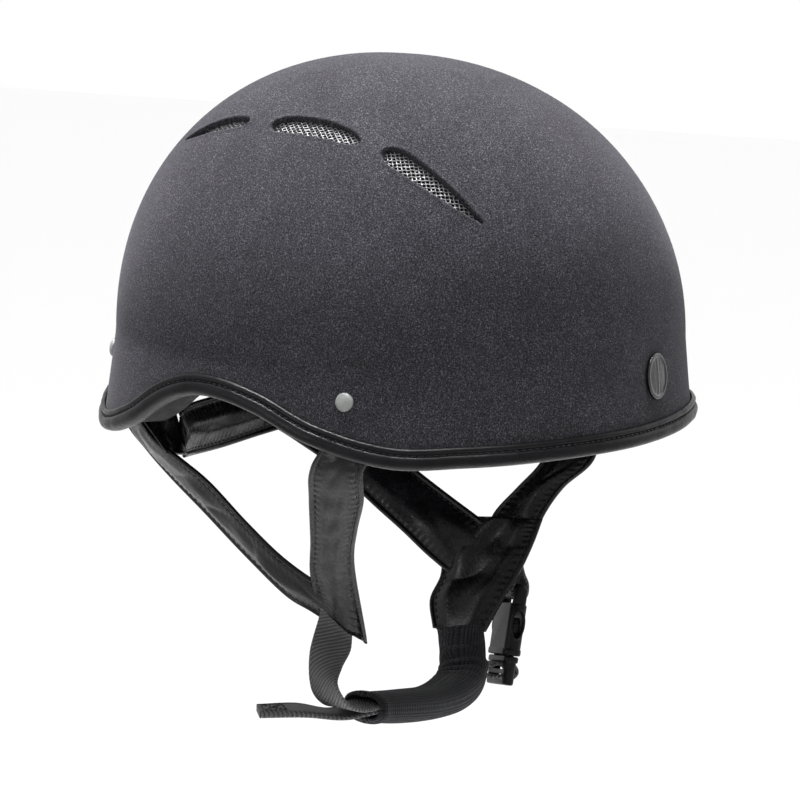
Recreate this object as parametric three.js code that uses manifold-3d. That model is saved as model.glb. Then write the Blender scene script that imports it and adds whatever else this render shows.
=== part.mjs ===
// Flocked skull-cap riding helmet with a padded four-point harness, a knitted chin sleeve
// and a side-release buckle. Millimetres, +Z up. The wearer faces -Y, their left is +X.
// z = 0 is the widest level of the shell, and the wearer's head fills the shell from below.

import * as THREE from 'three';
import { mergeVertices } from 'three/addons/utils/BufferGeometryUtils.js';
import Module from 'manifold-3d';

const wasm = await Module();
wasm.setup();

// ---------- driving dimensions ----------

const SHELL_FRONT = 131.6;         // centre to forehead
const SHELL_BACK = 124.6;          // centre to back of head
const SHELL_HALF_WIDTH = 109.2;
const SHELL_HEIGHT = 123.5;       // crown above z = 0
const PLAN_POWER = 2.2;           // a little squarer than an ellipse
const PLAN_TAPER = 0.05;          // wider at the forehead than at the back
const PROFILE_POWER = { front: 2.1, back: 2.16, side: 1.95 };
const SKIRT_FLARE = { front: 0.017, back: 0.044, side: 0.098 };   // growth per 50 mm below z = 0
const DOME_TURNS = 44;            // facets round the dome
const DOME_ROWS = 10;

const SHELL_WALL = 3;
const LINER_OUTER = 3.6;          // inset of the foam's outer face
const LINER_INNER = 23;           // inset of the foam's inner face
const PAD_OUTER = 23.8;
const PAD_INNER = 31;
const CROWN_PAD_EDGE = 86;        // height of the crown pad's edge

// rim height against the angle from the forehead, the same on both sides
const RIM = [
  [0, -34.5], [25, -34], [50, -35], [65, -35.5], [80, -27.5], [92, -15.5], [102, -13],
  [110, -17.5], [122, -31.5], [136, -39.5], [150, -38], [165, -33], [180, -31],
];

const TRIM_HEIGHT = 6.8;
const TRIM_PROUD = 2.4;
const TRIM_DROP = 1.6;            // trim below the shell's edge
const TRIM_LEG = 1.2;             // leg inside the shell
const TRIM_GAP = 0.6;             // clear of the faceted shell on both sides of its edge
const LATHE_SIDES = 10;

// slots along the crown: angle from the forehead, height, width
const VENTS = {
  front: { blunt: [66.5, 89.8], middle: [55.2, 80.2], tip: [42.6, 62.6], widths: [8.2, 7.8, 1.2] },
  middle: { blunt: [104, 96.8], middle: [88.9, 97.4], tip: [74, 92.8], widths: [8, 8.6, 6] },
  rear: { blunt: [115.4, 97.2], middle: [129.8, 93.4], tip: [143.6, 85.7], widths: [5, 6, 1.2] },
};
const VENT_STEPS = 7;
const MESH_DEPTH = 4.5;
const MESH_THICK = 1;
const MESH_MARGIN = 2.2;

const RIVETS = { front: [73.3, -11.2], rear: [150, -9] };
const RIVET_HEAD = 4;
const RIVET_SHANK = 1.6;
const RIVET_HOLE = 1.95;
const WASHER_RADIUS = 4.6;
const BADGE = { width: 17, height: 20, thickness: 1.4, z: -8.4, lean: 4.5, standOff: 1.1 };

const WEBBING_WIDTH = 20;
const WEBBING_THICK = 1.7;

const BUCKLE_WIDTH = 28;
const BUCKLE_THICK = 8;
const BUCKLE_WALL = 1;
const BUCKLE_LENGTH = 33;         // socket from its mouth to the end of its webbing bar
const BARREL_HEIGHT = 24;
const CAVITY_SIDE = 1.5;          // wall beside the socket's cavity
const THUMB_WINDOW = { height: 14.4, depth: 2.6, reach: 6.2 };   // half sizes of the oval opening
const BAR_BLOCK = { width: 26, thickness: 5, height: 12, slotAt: 26.4, slotHeight: 4.4 };
const PLUG_BASE = { thickness: 5.4, height: 12.6, middle: -7.5, slotHeight: 2.6 };
const PLUG_SLOTS = [-4.6, -10];
const TONGUE = { width: 4, thickness: 2.2, height: 16, middle: 6.2 };
const SLOT_SPARE = 1.4;           // buckle slots are wider than the webbing by this
const CUT_THROUGH = 12;           // long enough to cut through the buckle
const BUCKLE_MOUTH = new THREE.Vector3(69.6, -19.4, -160.5);
const BUCKLE_UP = new THREE.Vector3(0.294, 0, 0.956).normalize();
const BUCKLE_YAW = 45;            // the buckle's width direction, from +X towards +Y
const PRONG_REACH = 17;           // prong length inside the socket

// ---------- colours ----------

function finish(colour, roughness, metalness = 0) {
  return new THREE.MeshStandardMaterial({ color: colour, roughness, metalness });
}

const flock = finish(0x46444c, 0.95);
const foam = finish(0x2c2c30, 0.9);
const leather = finish(0x1f1f22, 0.5);
const lining = finish(0x17171a, 0.9);
const knit = finish(0x1b1b22, 0.95);
const webbing = finish(0x2a2a2d, 0.8);
const acetal = finish(0x151517, 0.35);
const rivetPaint = finish(0x96989a, 0.55, 0.3);
const wire = finish(0x77787c, 0.4, 0.9);
const gloss = finish(0x0c0c0e, 0.2);

// ---------- the dome ----------

function radians(degrees) {
  return degrees * Math.PI / 180;
}

function mix(a, b, t) {
  return a + (b - a) * t;
}

function signedPower(value, power) {
  return Math.sign(value) * Math.abs(value) ** power;
}

// a point on the dome, at an angle from the forehead towards the wearer's left
function domePoint(angle, z, inset = 0) {
  const c = Math.cos(angle);
  const s = Math.sin(angle);
  const ahead = c > 0;
  const side = 1 - c * c;
  const height = SHELL_HEIGHT - inset;
  const power = mix(ahead ? PROFILE_POWER.front : PROFILE_POWER.back, PROFILE_POWER.side, side);
  const flare = mix(ahead ? SKIRT_FLARE.front : SKIRT_FLARE.back, SKIRT_FLARE.side, side);
  const level = Math.min(Math.max(z / height, 0), 1);
  const radius = (1 - level ** power) ** (1 / power) * (1 + flare * Math.max(-z, 0) / 50);
  const length = (ahead ? SHELL_FRONT : SHELL_BACK) - inset;
  const x = (SHELL_HALF_WIDTH - inset) * signedPower(s, 2 / PLAN_POWER) * (1 + PLAN_TAPER * c);
  const y = -length * signedPower(c, 2 / PLAN_POWER);
  return new THREE.Vector3(x * radius, y * radius, z);
}

// position, outward normal, direction along the angle and direction up the wall
function domeFrame(angle, z, inset = 0) {
  const step = 0.01;
  const at = domePoint(angle, z, inset);
  const along = domePoint(angle + step, z, inset).sub(domePoint(angle - step, z, inset)).normalize();
  const up = domePoint(angle, z + step, inset).sub(domePoint(angle, z - step, inset)).normalize();
  const out = along.clone().cross(up).normalize();
  return { at, along, up, out };
}

// smooth curve through the rim's key heights
function rimHeight(angle) {
  let degrees = Math.abs(angle * 180 / Math.PI) % 360;
  if (degrees > 180) degrees = 360 - degrees;
  const last = RIM.length - 2;
  let i = 0;
  while (i < last && RIM[i + 1][0] < degrees) i += 1;
  const [a0, z0] = RIM[i];
  const [a1, z1] = RIM[i + 1];
  const slopeAt = (k) => {
    if (k === 0 || k === RIM.length - 1) return 0;
    return (RIM[k + 1][1] - RIM[k - 1][1]) / (RIM[k + 1][0] - RIM[k - 1][0]);
  };
  const span = a1 - a0;
  const t = (degrees - a0) / span;
  const rise = (2 * t ** 3 - 3 * t ** 2 + 1) * z0 + (3 * t ** 2 - 2 * t ** 3) * z1;
  return rise + span * ((t ** 3 - 2 * t ** 2 + t) * slopeAt(i) + (t ** 3 - t ** 2) * slopeAt(i + 1));
}

// ---------- building closed bodies ----------

function volumeOf(points, faces) {
  let total = 0;
  for (const [a, b, c] of faces) {
    total += points[a].dot(points[b].clone().cross(points[c]));
  }
  return total / 6;
}

function geometryFrom(points, faces) {
  const outward = volumeOf(points, faces) > 0;
  const ordered = outward ? faces : faces.map(([a, b, c]) => [a, c, b]);
  const geometry = new THREE.BufferGeometry();
  geometry.setAttribute('position', new THREE.Float32BufferAttribute(points.flatMap((p) => p.toArray()), 3));
  geometry.setIndex(ordered.flat());
  return geometry;
}

// the sides between successive loops of the same number of points
function sides(loopCount, size, offset, closed, faces) {
  const spans = closed ? loopCount : loopCount - 1;
  for (let i = 0; i < spans; i += 1) {
    const here = offset + i * size;
    const next = offset + ((i + 1) % loopCount) * size;
    for (let j = 0; j < size; j += 1) {
      const k = (j + 1) % size;
      faces.push([here + j, next + j, next + k], [here + j, next + k, here + k]);
    }
  }
}

// a body through a row of convex loops, capped at both ends or joined into a ring
function loft(loops, closed = false) {
  const size = loops[0].length;
  const points = loops.flat();
  const faces = [];
  sides(loops.length, size, 0, closed, faces);
  if (!closed) {
    const end = (loops.length - 1) * size;
    for (let j = 1; j < size - 1; j += 1) {
      faces.push([0, j, j + 1], [end, end + j + 1, end + j]);
    }
  }
  return geometryFrom(points, faces);
}

// a tube with a wall: an outer and an inner row of loops with open ends
function hollowLoft(outer, inner) {
  const size = outer[0].length;
  const faces = [];
  sides(outer.length, size, 0, false, faces);
  const offset = outer.length * size;
  const innerFaces = [];
  sides(inner.length, size, offset, false, innerFaces);
  faces.push(...innerFaces.map(([a, b, c]) => [a, c, b]));
  for (const row of [0, outer.length - 1]) {
    for (let j = 0; j < size; j += 1) {
      const k = (j + 1) % size;
      const a = row * size + j;
      const b = row * size + k;
      const c = offset + row * size + j;
      const d = offset + row * size + k;
      const end = [[a, b, d], [a, d, c]];
      faces.push(...(row === 0 ? end : end.map(([p, q, r]) => [p, r, q])));
    }
  }
  return geometryFrom([...outer.flat(), ...inner.flat()], faces);
}

// a rectangle with cut corners, across a width direction and a thickness direction
function cutCornerLoop(centre, wide, thick, width, thickness) {
  const corner = thickness * 0.3;
  const w = width / 2;
  const t = thickness / 2;
  const outline = [
    [w - corner, t], [w, t - corner], [w, corner - t], [w - corner, -t],
    [corner - w, -t], [-w, corner - t], [-w, t - corner], [corner - w, t],
  ];
  return outline.map(([a, b]) => centre.clone().addScaledVector(wide, a).addScaledVector(thick, b));
}

function curveThrough(points) {
  return new THREE.CatmullRomCurve3(points.map((p) => new THREE.Vector3(...p)), false, 'centripetal');
}

function interpolate(values, t) {
  const place = t * (values.length - 1);
  const i = Math.min(Math.floor(place), values.length - 2);
  return mix(values[i], values[i + 1], place - i);
}

// a flat strap between two edge lines; thicknesses run from its first end to its last
function strap({ edges, thicknesses, steps }, grow = 0) {
  const [first, second] = edges.map(curveThrough);
  const loops = [];
  for (let i = 0; i <= steps; i += 1) {
    const t = i / steps;
    const a = first.getPoint(t);
    const b = second.getPoint(t);
    const centre = a.clone().add(b).multiplyScalar(0.5);
    const run = first.getTangent(t).add(second.getTangent(t)).normalize();
    const wide = b.clone().sub(a);
    const width = wide.length();
    wide.normalize();
    const thick = run.clone().cross(wide).normalize();
    const end = i === 0 ? -1 : Number(i === steps);
    centre.addScaledVector(run, end * grow);
    loops.push(cutCornerLoop(centre, wide, thick, width + 2 * grow, interpolate(thicknesses, t) + 2 * grow));
  }
  return loft(loops);
}

// ---------- booleans ----------

function solid(geometry) {
  const bare = new THREE.BufferGeometry();
  bare.setAttribute('position', geometry.getAttribute('position').clone());
  if (geometry.getIndex()) bare.setIndex(geometry.getIndex().clone());
  const merged = mergeVertices(bare, 1e-4);
  const vertProperties = new Float32Array(merged.getAttribute('position').array);
  const triVerts = new Uint32Array(merged.getIndex().array);
  return new wasm.Manifold(new wasm.Mesh({ numProp: 3, vertProperties, triVerts }));
}

function geometryOf(body) {
  const mesh = body.getMesh();
  const geometry = new THREE.BufferGeometry();
  geometry.setAttribute('position', new THREE.Float32BufferAttribute(mesh.vertProperties, 3));
  geometry.setIndex(Array.from(mesh.triVerts));
  return geometry;
}

function cut(geometry, cutters) {
  return geometryOf(cutters.reduce((body, cutter) => body.subtract(solid(cutter)), solid(geometry)));
}

function join(geometries) {
  const [first, ...others] = geometries.map(solid);
  return geometryOf(others.reduce((body, other) => body.add(other), first));
}

function box(width, depth, height, x, y, z) {
  return new THREE.BoxGeometry(width, depth, height).translate(x, y, z);
}

// a block with rounded corners in the width and height plane, centred, through the thickness
function roundedBlock(width, thickness, height, radius) {
  const shape = new THREE.Shape();
  const w = width / 2 - radius;
  const h = height / 2 - radius;
  shape.absarc(w, h, radius, 0, Math.PI / 2);
  shape.absarc(-w, h, radius, Math.PI / 2, Math.PI);
  shape.absarc(-w, -h, radius, Math.PI, 1.5 * Math.PI);
  shape.absarc(w, -h, radius, 1.5 * Math.PI, 2 * Math.PI);
  const settings = { depth: thickness, bevelEnabled: false, curveSegments: 4 };
  const block = new THREE.ExtrudeGeometry(shape, settings);
  return block.translate(0, 0, -thickness / 2).rotateX(Math.PI / 2);
}

// ---------- shell, foam and rim ----------

// a domed wall between two insets, from a lower edge up to the crown
function domeWall(outerInset, innerInset, lowAt, turns = DOME_TURNS, rows = DOME_ROWS) {
  const points = [];
  const faces = [];
  const apex = [];
  for (const inset of [outerInset, innerInset]) {
    const top = SHELL_HEIGHT - inset;
    for (let row = 0; row < rows; row += 1) {
      for (let i = 0; i < turns; i += 1) {
        const angle = i / turns * 2 * Math.PI;
        const level = Math.sin(row / rows * Math.PI / 2);
        points.push(domePoint(angle, mix(lowAt(angle), top, level), inset));
      }
    }
    apex.push(points.length);
    points.push(new THREE.Vector3(0, 0, top));
  }
  const layers = [{ start: 0, tip: apex[0] }, { start: apex[0] + 1, tip: apex[1] }];
  for (const { start, tip } of layers) {
    const inner = start > 0;
    const add = (a, b, c) => faces.push(inner ? [a, c, b] : [a, b, c]);
    for (let row = 0; row < rows; row += 1) {
      for (let i = 0; i < turns; i += 1) {
        const a = start + row * turns + i;
        const b = start + row * turns + (i + 1) % turns;
        if (row === rows - 1) {
          add(a, b, tip);
        } else {
          add(a, b, b + turns);
          add(a, b + turns, a + turns);
        }
      }
    }
  }
  for (let i = 0; i < turns; i += 1) {
    const next = (i + 1) % turns;
    const inner = layers[1].start;
    faces.push([i, inner + i, inner + next], [i, inner + next, next]);
  }
  return geometryFrom(points, faces);
}

// frames that follow the shell's lower edge
function rimFrame(angle) {
  const { out } = domeFrame(angle, rimHeight(angle));
  const step = 0.01;
  const before = domePoint(angle - step, rimHeight(angle - step));
  const after = domePoint(angle + step, rimHeight(angle + step));
  const along = after.sub(before).normalize();
  const up = out.clone().cross(along).normalize();
  return { at: domePoint(angle, rimHeight(angle)), out, up };
}

// a ring of one section, given as distance out of the shell and distance up from its edge
function rimRing(outline) {
  const loops = [];
  for (let i = 0; i < DOME_TURNS; i += 1) {
    const { at, out, up } = rimFrame(i / DOME_TURNS * 2 * Math.PI);
    loops.push(outline.map(([a, b]) => at.clone().addScaledVector(out, a).addScaledVector(up, b)));
  }
  return loft(loops, true);
}

// a channel of folded leather that grips the shell's lower edge
function rimTrim() {
  const inside = -SHELL_WALL - TRIM_GAP;
  return rimRing([
    [TRIM_PROUD * 0.45, TRIM_HEIGHT], [TRIM_PROUD, TRIM_HEIGHT * 0.7], [TRIM_PROUD, 0.4],
    [TRIM_PROUD * 0.5, -TRIM_DROP], [inside, -TRIM_DROP],
    [inside - TRIM_LEG, -TRIM_DROP * 0.4], [inside - TRIM_LEG, TRIM_HEIGHT - 1],
    [inside, TRIM_HEIGHT - 1], [inside, -TRIM_GAP], [TRIM_GAP, -TRIM_GAP], [TRIM_GAP, TRIM_HEIGHT],
  ]);
}

// the space in the foam for the trim's inner leg
function trimRoom() {
  const deep = -SHELL_WALL - TRIM_LEG - 1.4;
  return rimRing([[-1, TRIM_HEIGHT], [-1, -6], [deep, -6], [deep, TRIM_HEIGHT]]);
}

// ---------- vents ----------

// a curve from a to c that passes b half way
function quadratic(a, b, c, t) {
  return mix(a, c, t) + 4 * (b - (a + c) / 2) * t * (1 - t);
}

// a lozenge along the dome with a round blunt end, between two depths under the surface
function ventBody({ blunt, middle, tip, widths }, side, near, far, grow) {
  const loops = [];
  for (let i = 0; i <= VENT_STEPS; i += 1) {
    const t = (1 - Math.cos(i / VENT_STEPS * Math.PI)) / 2;
    const stretch = mix(-grow / 50, 1 + grow / 50, t);
    const angle = side * radians(quadratic(blunt[0], middle[0], tip[0], stretch));
    const z = quadratic(blunt[1], middle[1], tip[1], stretch);
    const { at, out } = domeFrame(angle, z);
    const ahead = side * radians(quadratic(blunt[0], middle[0], tip[0], stretch + 0.01));
    const run = domePoint(ahead, quadratic(blunt[1], middle[1], tip[1], stretch + 0.01)).sub(at).normalize();
    const across = out.clone().cross(run).normalize();
    const ends = Math.sqrt(Math.max(1 - (2 * t - 1) ** 6, 0));
    const half = Math.max(quadratic(...widths, t) / 2 * ends, 0.25) + grow;
    loops.push([[half, near], [half, far], [-half, far], [-half, near]].map(
      ([a, b]) => at.clone().addScaledVector(across, a).addScaledVector(out, b),
    ));
  }
  return loft(loops);
}

function everyVent(make) {
  const made = {};
  for (const [side, sign] of [['right', -1], ['left', 1]]) {
    for (const [place, vent] of Object.entries(VENTS)) {
      made[`${side}_${place}`] = make(vent, sign);
    }
  }
  return made;
}

// ---------- rivets ----------

function rivetFrame(place, sign) {
  const [degrees, z] = RIVETS[place];
  return domeFrame(sign * radians(degrees), z);
}

// turns a body made along +Y so that it points out of the shell at a rivet
function pointOut(geometry, { at, out }) {
  const turn = new THREE.Quaternion().setFromUnitVectors(new THREE.Vector3(0, 1, 0), out);
  return geometry.applyQuaternion(turn).translate(at.x, at.y, at.z);
}

function everyRivet(make) {
  const made = {};
  for (const [side, sign] of [['right', -1], ['left', 1]]) {
    for (const place of Object.keys(RIVETS)) {
      made[`${side}_${place}`] = make(rivetFrame(place, sign));
    }
  }
  return made;
}

const STRAP_TAB = 2.4;            // strap thickness under a rivet
const TAB_OUTER = SHELL_WALL + 0.7;
const TAB_INNER = TAB_OUTER + STRAP_TAB;

function rivet(frame) {
  const tail = -(TAB_INNER + 2.4);
  const profile = [
    [0, tail - 0.8], [2.6, tail - 0.8], [2.6, tail], [RIVET_SHANK, tail], [RIVET_SHANK, 0.3],
    [RIVET_HEAD, 0.3], [RIVET_HEAD * 0.93, 1], [RIVET_HEAD * 0.6, 1.8], [0, 2.1],
  ].map(([r, y]) => new THREE.Vector2(r, y));
  return pointOut(new THREE.LatheGeometry(profile, LATHE_SIDES), frame);
}

function rivetWasher(frame) {
  const face = -(TAB_INNER + 0.9);
  const profile = [
    [RIVET_HOLE, face - 1], [WASHER_RADIUS, face - 1], [WASHER_RADIUS, face], [RIVET_HOLE, face],
    [RIVET_HOLE, face - 1],
  ].map(([r, y]) => new THREE.Vector2(r, y));
  return pointOut(new THREE.LatheGeometry(profile, LATHE_SIDES), frame);
}

function rivetHole(frame) {
  return pointOut(new THREE.CylinderGeometry(RIVET_HOLE, RIVET_HOLE, 24, LATHE_SIDES), frame);
}

// room in the foam for the washer and the rivet's set end
function rivetPocket(frame) {
  const depth = TAB_INNER + 4;
  const pocket = new THREE.CylinderGeometry(WASHER_RADIUS + 0.8, WASHER_RADIUS + 0.8, depth, LATHE_SIDES);
  return pointOut(pocket.translate(0, -depth / 2, 0), frame);
}

// ---------- harness ----------

// a point inside the shell, at an angle and height, at a depth under the outer face
function underShell(degrees, z, depth) {
  const { at, out } = domeFrame(radians(degrees), z);
  return at.addScaledVector(out, -depth).toArray();
}

const TAB_MIDDLE = TAB_OUTER + STRAP_TAB / 2;
const RIM_MIDDLE = 8.7;           // depth of the strap's centre where it passes inside the trim

// each strap is drawn by two edges, from its rivet downwards, with a thickness at each point
const STRAPS = {
  right_front: {
    edges: [
      [
        underShell(-77.5, 0, TAB_MIDDLE), underShell(-78.7, -16, TAB_MIDDLE),
        underShell(-79, -30, RIM_MIDDLE),
        [-105, -24.5, -41], [-94.5, -17.5, -58], [-82.5, -10.5, -78.5], [-72.5, -4, -95.6], [-64.5, -3, -113],
      ],
      [
        underShell(-69.1, 0, TAB_MIDDLE), underShell(-68.9, -16, TAB_MIDDLE),
        underShell(-67.6, -30, RIM_MIDDLE),
        [-103.5, -49, -41], [-95.5, -43.5, -56], [-86.5, -35, -71], [-77, -27.5, -87], [-54, -20, -128.5],
      ],
    ],
    thicknesses: [2.4, 2.4, 3, 4.6, 5, 5, 5, 5],
    steps: 16,
  },
  left_front: {
    edges: [
      [
        underShell(69.1, 0, TAB_MIDDLE), underShell(68.9, -16, TAB_MIDDLE), underShell(67.6, -30, RIM_MIDDLE),
        [101, -57, -44], [95, -56, -56], [89.5, -54.5, -69], [84, -42, -82], [79.5, -34.5, -95],
      ],
      [
        underShell(77.5, 0, TAB_MIDDLE), underShell(78.7, -16, TAB_MIDDLE), underShell(78.5, -30, RIM_MIDDLE),
        [103, -33, -44], [95.5, -32, -57], [88, -28, -72], [83, -18.5, -84], [78.5, -9, -96],
      ],
    ],
    thicknesses: [2.4, 2.4, 3, 4.6, 5, 5, 5, 5],
    steps: 16,
  },
  right_rear: {
    edges: [
      [
        underShell(-155.5, 2, TAB_MIDDLE), underShell(-155.5, -16, TAB_MIDDLE),
        underShell(-155, -30, RIM_MIDDLE),
        [-46, 110.5, -44], [-46.5, 99, -56], [-52, 82.5, -66], [-60, 60, -77.5], [-63.5, 34, -95.5],
        [-64.5, 12, -110.5], [-64.8, 1.5, -115],
      ],
      [
        underShell(-144.5, 2, TAB_MIDDLE), underShell(-144.5, -16, TAB_MIDDLE),
        underShell(-143.5, -30, RIM_MIDDLE),
        [-63, 90, -40], [-68, 80, -46.5], [-71, 65, -53], [-74, 49, -60.5], [-75.5, 28.5, -76],
        [-74, 13, -88.5], [-72.5, 3, -95.5],
      ],
    ],
    thicknesses: [2.4, 2.4, 3, 4.4, 4.6, 4.6, 4.6, 4.6, 4.6, 4.6],
    steps: 18,
  },
  left_rear: {
    edges: [
      [
        underShell(144.5, 2, TAB_MIDDLE), underShell(144.5, -16, TAB_MIDDLE),
        underShell(143.5, -30, RIM_MIDDLE),
        [62, 91, -41], [66, 82, -49], [70.5, 66, -57.5], [74, 50, -66], [76, 33, -78.5],
        [76, 14, -89.5], [75.5, -1, -97.5],
      ],
      [
        underShell(155.5, 2, TAB_MIDDLE), underShell(155.5, -16, TAB_MIDDLE),
        underShell(155, -30, RIM_MIDDLE),
        [46, 110.5, -44], [46.5, 99, -56], [53, 84, -67], [60, 68, -79], [63, 47, -96],
        [64, 31, -107.5], [65.5, 20.5, -116.2],
      ],
    ],
    thicknesses: [2.4, 2.4, 3, 4.4, 4.6, 4.6, 4.6, 4.6, 4.6, 4.6],
    steps: 18,
  },
};

// the stretch of a strap that lies inside the foam, as a body a little larger than the strap
function strapRoom({ edges, thicknesses }) {
  const inside = edges.map((edge) => edge.slice(0, 4));
  return strap({ edges: inside, thicknesses: thicknesses.slice(0, 4), steps: 6 }, 0.9);
}

// padded leather guard between the cheek and the buckle
const BUCKLE_GUARD = {
  edges: [
    [[78.9, -34.2, -96.4], [74.5, -32, -107], [69, -27.5, -121], [64.5, -23, -131], [58.5, -16.5, -145]],
    [[76.3, 0.5, -99.3], [71.5, 13.5, -117], [67.5, 13.5, -127], [62.5, 16, -137], [57.5, 11.5, -146.5]],
  ],
  thicknesses: [5, 5, 4.6, 4.4, 4],
  steps: 12,
};

const NAPE_PAD = {
  edges: [
    [[-46, 82, -37], [-28, 90, -37.5], [0, 93, -38], [28, 90, -37.5], [46, 82, -37]],
    [[-46, 80, -58], [-28, 87, -60.5], [0, 90, -62], [28, 87, -60.5], [46, 80, -58]],
  ],
  thicknesses: [6, 8, 8, 8, 6],
  steps: 14,
};

// ---------- badge ----------

function badgePlate() {
  const shape = new THREE.Shape();
  shape.absellipse(0, 0, BADGE.width / 2, BADGE.height / 2, 0, 2 * Math.PI);
  const settings = { depth: BADGE.thickness, bevelEnabled: false, curveSegments: 20 };
  const plate = new THREE.ExtrudeGeometry(shape, settings).rotateX(Math.PI / 2 - radians(BADGE.lean));
  return plate.translate(0, -SHELL_FRONT - BADGE.standOff, BADGE.z);
}

// ---------- pads inside the foam ----------

// a pad that lines the foam between two angles and two heights above the rim
function liningPad(from, to, low, high, turns) {
  const rows = 4;
  const loops = [];
  for (let i = 0; i <= turns; i += 1) {
    const angle = radians(mix(from, to, i / turns));
    const base = rimHeight(angle);
    const outer = [];
    const inner = [];
    for (let j = 0; j <= rows; j += 1) {
      const z = mix(base + low, high, j / rows);
      const swell = 0.55 + 0.45 * Math.sin(j / rows * Math.PI);
      outer.push(domePoint(angle, z, PAD_OUTER));
      inner.push(domePoint(angle, z, mix(PAD_OUTER, PAD_INNER, swell)));
    }
    loops.push([...outer, ...inner.reverse()]);
  }
  return loft(loops);
}

// ---------- chin strap ----------

// centre line of the sleeve from under the buckle guard to its open mouth
const SLEEVE = {
  centres: [
    [57.2, -3.2, -147.6], [56.6, -4.5, -156], [51, -7.5, -164.5], [40, -11, -168.5],
    [24, -14.5, -169.5], [5, -16.5, -168.5], [-15, -17, -165.5], [-32, -15, -162.5], [-44, -12, -160.5],
  ],
  widths: [26, 24.5, 24, 24, 23.5, 23.5, 23.5, 24, 25],
  thicknesses: [9, 10, 12, 14, 14.5, 14.5, 14, 13, 12],
  wall: 3,
  steps: 15,
};

// an oval section of ten points
function ovalLoop(centre, wide, thick, width, thickness) {
  const loop = [];
  for (let i = 0; i < 10; i += 1) {
    const angle = i / 10 * 2 * Math.PI;
    const a = signedPower(Math.cos(angle), 0.75) * width / 2;
    const b = signedPower(Math.sin(angle), 0.75) * thickness / 2;
    loop.push(centre.clone().addScaledVector(wide, a).addScaledVector(thick, b));
  }
  return loop;
}

function sleeveFrame(t) {
  const curve = curveThrough(SLEEVE.centres);
  const run = curve.getTangent(t);
  const thick = new THREE.Vector3(0, 1, 0).cross(run).normalize();
  const wide = run.clone().cross(thick).normalize();
  return { at: curve.getPoint(t), run, wide, thick };
}

function sleeveTube() {
  const rows = { outer: [], inner: [] };
  for (let i = 0; i <= SLEEVE.steps; i += 1) {
    const t = i / SLEEVE.steps;
    const { at, wide, thick } = sleeveFrame(t);
    const width = interpolate(SLEEVE.widths, t);
    const thickness = interpolate(SLEEVE.thicknesses, t);
    rows.outer.push(ovalLoop(at, wide, thick, width, thickness));
    rows.inner.push(ovalLoop(at, wide, thick, width - 1.2, thickness - 2 * SLEEVE.wall + 2));
  }
  return hollowLoft(rows.outer, rows.inner);
}

function sleevePoint(t, across, up) {
  const { at, wide, thick } = sleeveFrame(t);
  return at.addScaledVector(wide, across).addScaledVector(thick, up).toArray();
}

const HALF = WEBBING_WIDTH / 2;
const LAYER = 1.35;               // two layers of webbing lie this far either side of the sleeve's centre

// from the right-hand strap, down and round into the sleeve's mouth, and along inside it
const INSIDE = [0.92, 0.8, 0.68, 0.56, 0.44, 0.36];
const CHIN_WEBBING = {
  edges: [
    [
      [-64.5, -2.5, -117.5], [-68.5, -0.5, -131], [-68, 0, -143], [-65, 0, -151], [-58, -1.5, -157.3],
      ...INSIDE.map((t) => sleevePoint(t, HALF, LAYER)),
    ],
    [
      [-55.5, -13.5, -131.5], [-67.5, -16, -138], [-74.5, -18, -143],
      [-70.5, -19.5, -151], [-60.5, -21.5, -157.3],
      ...INSIDE.map((t) => sleevePoint(t, -HALF, LAYER)),
    ],
  ],
  thicknesses: Array(11).fill(WEBBING_THICK),
  steps: 20,
};

// the free end, under the other layer, out of the mouth towards the back
const TAIL_INSIDE = [0.7, 0.8, 0.9, 1];
const STRAP_TAIL = {
  edges: [
    [
      ...TAIL_INSIDE.map((t) => sleevePoint(t, HALF, -LAYER)),
      [-50, 3.5, -162.5], [-61, 12, -159.4], [-75.5, 23, -158.5],
    ],
    [
      ...TAIL_INSIDE.map((t) => sleevePoint(t, -HALF, -LAYER)),
      [-59, -13.5, -162.4], [-74.5, -2.5, -158.8], [-90.5, 11.5, -157],
    ],
  ],
  thicknesses: [1.7, 1.7, 1.7, 1.7, 1.7, 1.9, 3],
  steps: 14,
};

// ---------- buckle, in its own frame: x across, z up out of the mouth ----------

// a webbing loop across the buckle, through points given as depth and height
function buckleLoop(path, steps) {
  const edge = (x) => path.map(([y, z]) => [x, y, z]);
  const thicknesses = Array(path.length).fill(WEBBING_THICK);
  return strap({ edges: [edge(-HALF), edge(HALF)], thicknesses, steps });
}

const SOCKET_LOOP = [
  [3.8, 35.5], [3.8, 33], [3.8, 30.5], [3.2, 28], [1.4, 27],
  [-1.4, 27], [-3.2, 28], [-3.8, 30.5], [-3.8, 35], [-3.8, 40],
];
const PLUG_LOOP = [
  [8, -6], [5.4, -4.6], [2, -4.6], [-2.8, -4.6], [-4.6, -7.3], [-2.8, -10], [2, -10], [8, -11],
];

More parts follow.
